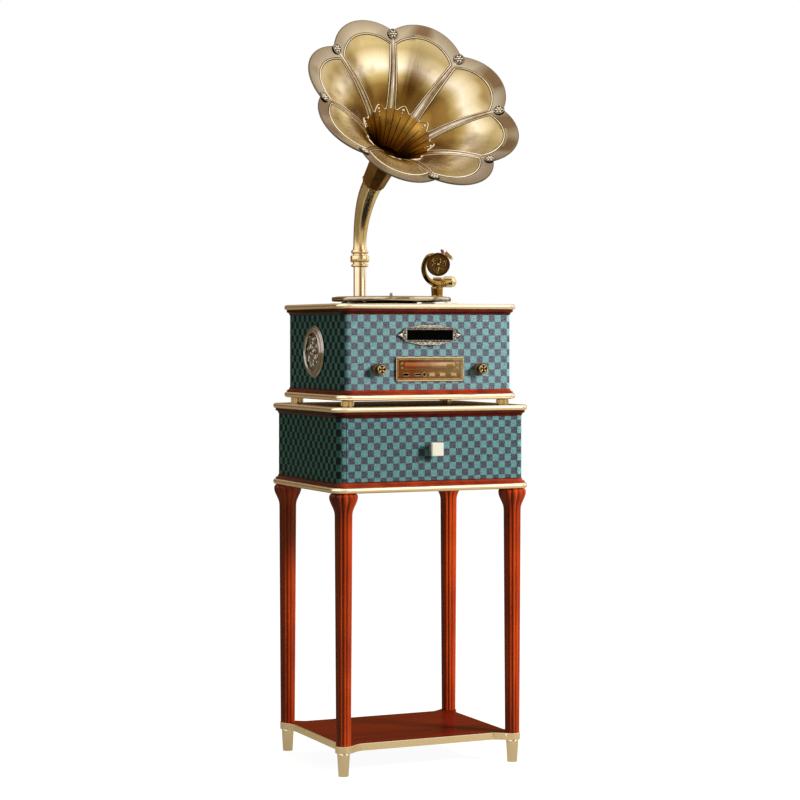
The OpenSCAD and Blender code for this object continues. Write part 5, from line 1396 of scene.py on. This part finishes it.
def buildMat():
    # rubber mat with fine concentric ribs and a smooth, lower label field
    low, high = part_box("platter_mat")
    place = Matrix.Translation((middle("platter_mat").x, middle("platter_mat").y, low.z))
    thick = (high.z - low.z) / mm
    inner, outer = matLook["boreR"], (high.x - low.x) / 2 / mm
    label, lowered, valley = matLook["label"], thick - matLook["step"], thick - matLook["ribUp"]
    profile = [(inner, 0), (inner, lowered), (label, lowered), (label + 1, thick)]
    step = (outer - matLook["plainEdge"] - matLook["firstRib"]) / matLook["ribs"]
    for i in range(matLook["ribs"]):
        a = matLook["firstRib"] + step * i
        profile += [(a, thick), (a + step * 0.55, thick), (a + step * 0.65, valley), (a + step * 0.9, valley)]
    profile += [(outer - 5.6, thick), (outer - 0.8, thick), (outer, lowered), (outer, 0)]
    mat = lathe([(a * mm, b * mm) for a, b in profile], 128, place, closed=True)
    makePiece("ribbed_mat", [mat], "matRubber", "turntable", ["platter_mat"], 30)


screwInset = 6 * mm
screwHead = [(0.4, -2), (1.6, -2), (1.6, 0), (3, 0), (2.8, 0.7), (1.8, 1.3), (1.2, 1.4), (1.0, 0.6),
             (0.4, 0.5)]  # radius and height in mm


def buildBackScrews():
    # four screws at the corners of the back panel
    low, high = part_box("back_panel")
    shapes = []
    for x in (low.x + screwInset, high.x - screwInset):
        for z in (low.z + screwInset, high.z - screwInset):
            place = facePlace(Vector((x, high.y, z)), (0, 1, 0))
            shapes.append(lathe([(r * mm, h * mm) for r, h in screwHead], 20, place))
    makePiece("panel_screws", shapes, "steel", "cabinet")


buildDisplayScrolls()
buildPlateRelief()
buildKnob("volume_knob", "volume_grip")
buildKnob("tuning_knob", "tuning_grip")
buildMedallion(-1, "left_medallion")
buildMedallion(1, "right_medallion")
buildMat()
buildBackScrews()
print("ornaments done")


# Studio: pale floor, white background, one large key light and soft fill

worldLook = dict(toCamera=(-0.412, -0.911, 0), toRight=(0.911, -0.412, 0), toLight=(0.55, -0.62, 0.56),
                 toBack=(0.42, 0.8, 0.43), windowColour=(1.0, 0.985, 0.95, 1), brown=(1.0, 0.44, 0.08, 1),
                 brownStrength=0.2, fillColour=(0.82, 1.0, 0.87, 1))
# two sides and soft edge of each window, in degrees round from the camera's direction, and its strength
studioWindows = ((-106, -12, 6, 1.1), (-2, 6, 4, 0.7), (38, 86, 6, 1.4), (99, 150, 8, 1.05))


def towards(tree, place, direction):
    # how far a place or direction points along another
    made = addNode(tree, "ShaderNodeVectorMath", {0: place, 1: direction}, operation="DOT_PRODUCT")
    return made.outputs["Value"]


def buildWorld():
    # polished metal sees bright windows round about, with dark gaps between them, and a brown tone all over
    world = bpy.data.worlds.new("studio")
    world.use_nodes = True
    tree = world.node_tree
    tree.nodes.clear()
    ray = addNode(tree, "ShaderNodeLightPath").outputs
    direction = addNode(tree, "ShaderNodeTexCoord").outputs["Generated"]
    axes = addNode(tree, "ShaderNodeSeparateXYZ", {0: direction}).outputs
    ahead = towards(tree, direction, worldLook["toCamera"])
    aside = towards(tree, direction, worldLook["toRight"])
    swing = calc(tree, "DEGREES", calc(tree, "ARCTAN2", aside, ahead))
    level = 0.0
    for low, high, soft, strength in studioWindows:
        window = calc(tree, "MULTIPLY", softStep(tree, swing, low - soft, low + soft),
                      softStep(tree, swing, high + soft, high - soft))
        window = calc(tree, "MULTIPLY", window, strength)
        level = calc(tree, "ADD", level, window)
    front = remap(tree, calc(tree, "ADD", ahead, aside), -1.0, 1.0, 0.4, 1.15)
    ceiling = calc(tree, "MULTIPLY", softStep(tree, axes[2], 0.2, 0.55), front)
    level = calc(tree, "MAXIMUM", level, ceiling)
    white = addNode(tree, "ShaderNodeBackground", {"Color": worldLook["windowColour"], "Strength": level})
    brown = addNode(tree, "ShaderNodeBackground", {"Color": worldLook["brown"],
                                                   "Strength": worldLook["brownStrength"]})
    glossy = addNode(tree, "ShaderNodeAddShader", {0: white.outputs[0], 1: brown.outputs[0]})
    soft = remap(tree, towards(tree, direction, worldLook["toLight"]), 0.25, 1.0, 0.015, 0.45)
    behind = remap(tree, towards(tree, direction, worldLook["toBack"]), 0.35, 1.0, 0.0, 0.8)
    soft = calc(tree, "ADD", soft, behind)
    fill = addNode(tree, "ShaderNodeBackground", {"Color": worldLook["fillColour"], "Strength": soft})
    backdrop = addNode(tree, "ShaderNodeBackground", {"Color": (1, 1, 1, 1), "Strength": 1.0})
    lit = addNode(tree, "ShaderNodeMixShader",
                  {0: ray["Is Glossy Ray"], 1: fill.outputs[0], 2: glossy.outputs[0]})
    seen = addNode(tree, "ShaderNodeMixShader",
                   {0: ray["Is Camera Ray"], 1: lit.outputs[0], 2: backdrop.outputs[0]})
    addNode(tree, "ShaderNodeOutputWorld", {"Surface": seen.outputs[0]})
    scene.world = world


floorLook = dict(half=30.0, tone=0.3, seenTone=0.9, glow=(1.0, 0.78, 0.46, 1), seenGlow=(1, 1, 1, 1),
                 brightSide=(0.7, -0.71, 0), weak=0.3, strong=0.75, seenStrength=1.32, seenShare=0.72,
                 glossyShare=0.9)


def buildFloor():
    # the camera sees a nearly white floor that keeps a soft shadow; polished metal sees a warm glow
    half = floorLook["half"]
    corners = [(-half, -half, 0), (half, -half, 0), (half, half, 0), (-half, half, 0)]
    mesh = bpy.data.meshes.new("floor")
    mesh.from_pydata(corners, [], [(0, 1, 2, 3)])
    floor = bpy.data.objects.new("floor", mesh)
    scene.collection.objects.link(floor)
    material = bpy.data.materials.new("paleFloor")
    material.use_nodes = True
    tree = material.node_tree
    tree.nodes.clear()
    ray = addNode(tree, "ShaderNodeLightPath").outputs
    cameraRay = ray["Is Camera Ray"]
    tone = remap(tree, cameraRay, 0.0, 1.0, floorLook["tone"], floorLook["seenTone"])
    grey = addNode(tree, "ShaderNodeCombineColor", {0: tone, 1: tone, 2: tone}).outputs[0]
    plain = addNode(tree, "ShaderNodeBsdfDiffuse", {"Color": grey})
    glowColour = blendColours(tree, cameraRay, floorLook["glow"], floorLook["seenGlow"])
    place = addNode(tree, "ShaderNodeTexCoord").outputs["Object"]
    facing = towards(tree, place, floorLook["brightSide"])
    level = remap(tree, facing, -1.0, 1.0, floorLook["weak"], floorLook["strong"])
    level = calc(tree, "ADD", calc(tree, "MULTIPLY", level, calc(tree, "SUBTRACT", 1.0, cameraRay)),
                 calc(tree, "MULTIPLY", cameraRay, floorLook["seenStrength"]))
    glow = addNode(tree, "ShaderNodeEmission", {"Color": glowColour, "Strength": level})
    share = calc(tree, "MAXIMUM", calc(tree, "MULTIPLY", cameraRay, floorLook["seenShare"]),
                 calc(tree, "MULTIPLY", ray["Is Glossy Ray"], floorLook["glossyShare"]))
    mixed = addNode(tree, "ShaderNodeMixShader", {0: share, 1: plain.outputs[0], 2: glow.outputs[0]})
    addNode(tree, "ShaderNodeOutputMaterial", {"Surface": mixed.outputs[0]})
    mesh.materials.append(material)


keyLook = dict(place=(2.0, -2.2, 1.75), target=(0, 0, 0.95), width=0.6, height=0.8, power=118,
               colour=(1.0, 0.99, 0.97))


def buildKeyLight():
    lamp = bpy.data.lights.new("keyLight", "AREA")
    lamp.shape = "RECTANGLE"
    lamp.size = keyLook["width"]
    lamp.size_y = keyLook["height"]
    lamp.energy = keyLook["power"]
    lamp.color = keyLook["colour"]
    holder = bpy.data.objects.new("keyLight", lamp)
    scene.collection.objects.link(holder)
    holder.location = keyLook["place"]
    aim = Vector(keyLook["target"]) - Vector(keyLook["place"])
    holder.rotation_euler = aim.to_track_quat("-Z", "Y").to_euler()
    holder.visible_glossy = False


cameraLook = dict(place=(-2.142, -4.746, 0.9906), turn=24.33, lens=99.527, sensor=36.0, shiftY=-0.0815)


def buildCamera():
    data = bpy.data.cameras.new("photoCamera")
    data.sensor_width = cameraLook["sensor"]
    data.lens = cameraLook["lens"]
    data.shift_y = cameraLook["shiftY"]
    data.dof.use_dof = False
    camera = bpy.data.objects.new("photoCamera", data)
    scene.collection.objects.link(camera)
    camera.location = cameraLook["place"]
    camera.rotation_euler = (math.pi / 2, 0, -math.radians(cameraLook["turn"]))
    scene.camera = camera


buildWorld()
buildFloor()
buildKeyLight()
buildCamera()
scene.view_settings.view_transform = "Standard"
print("studio ready")
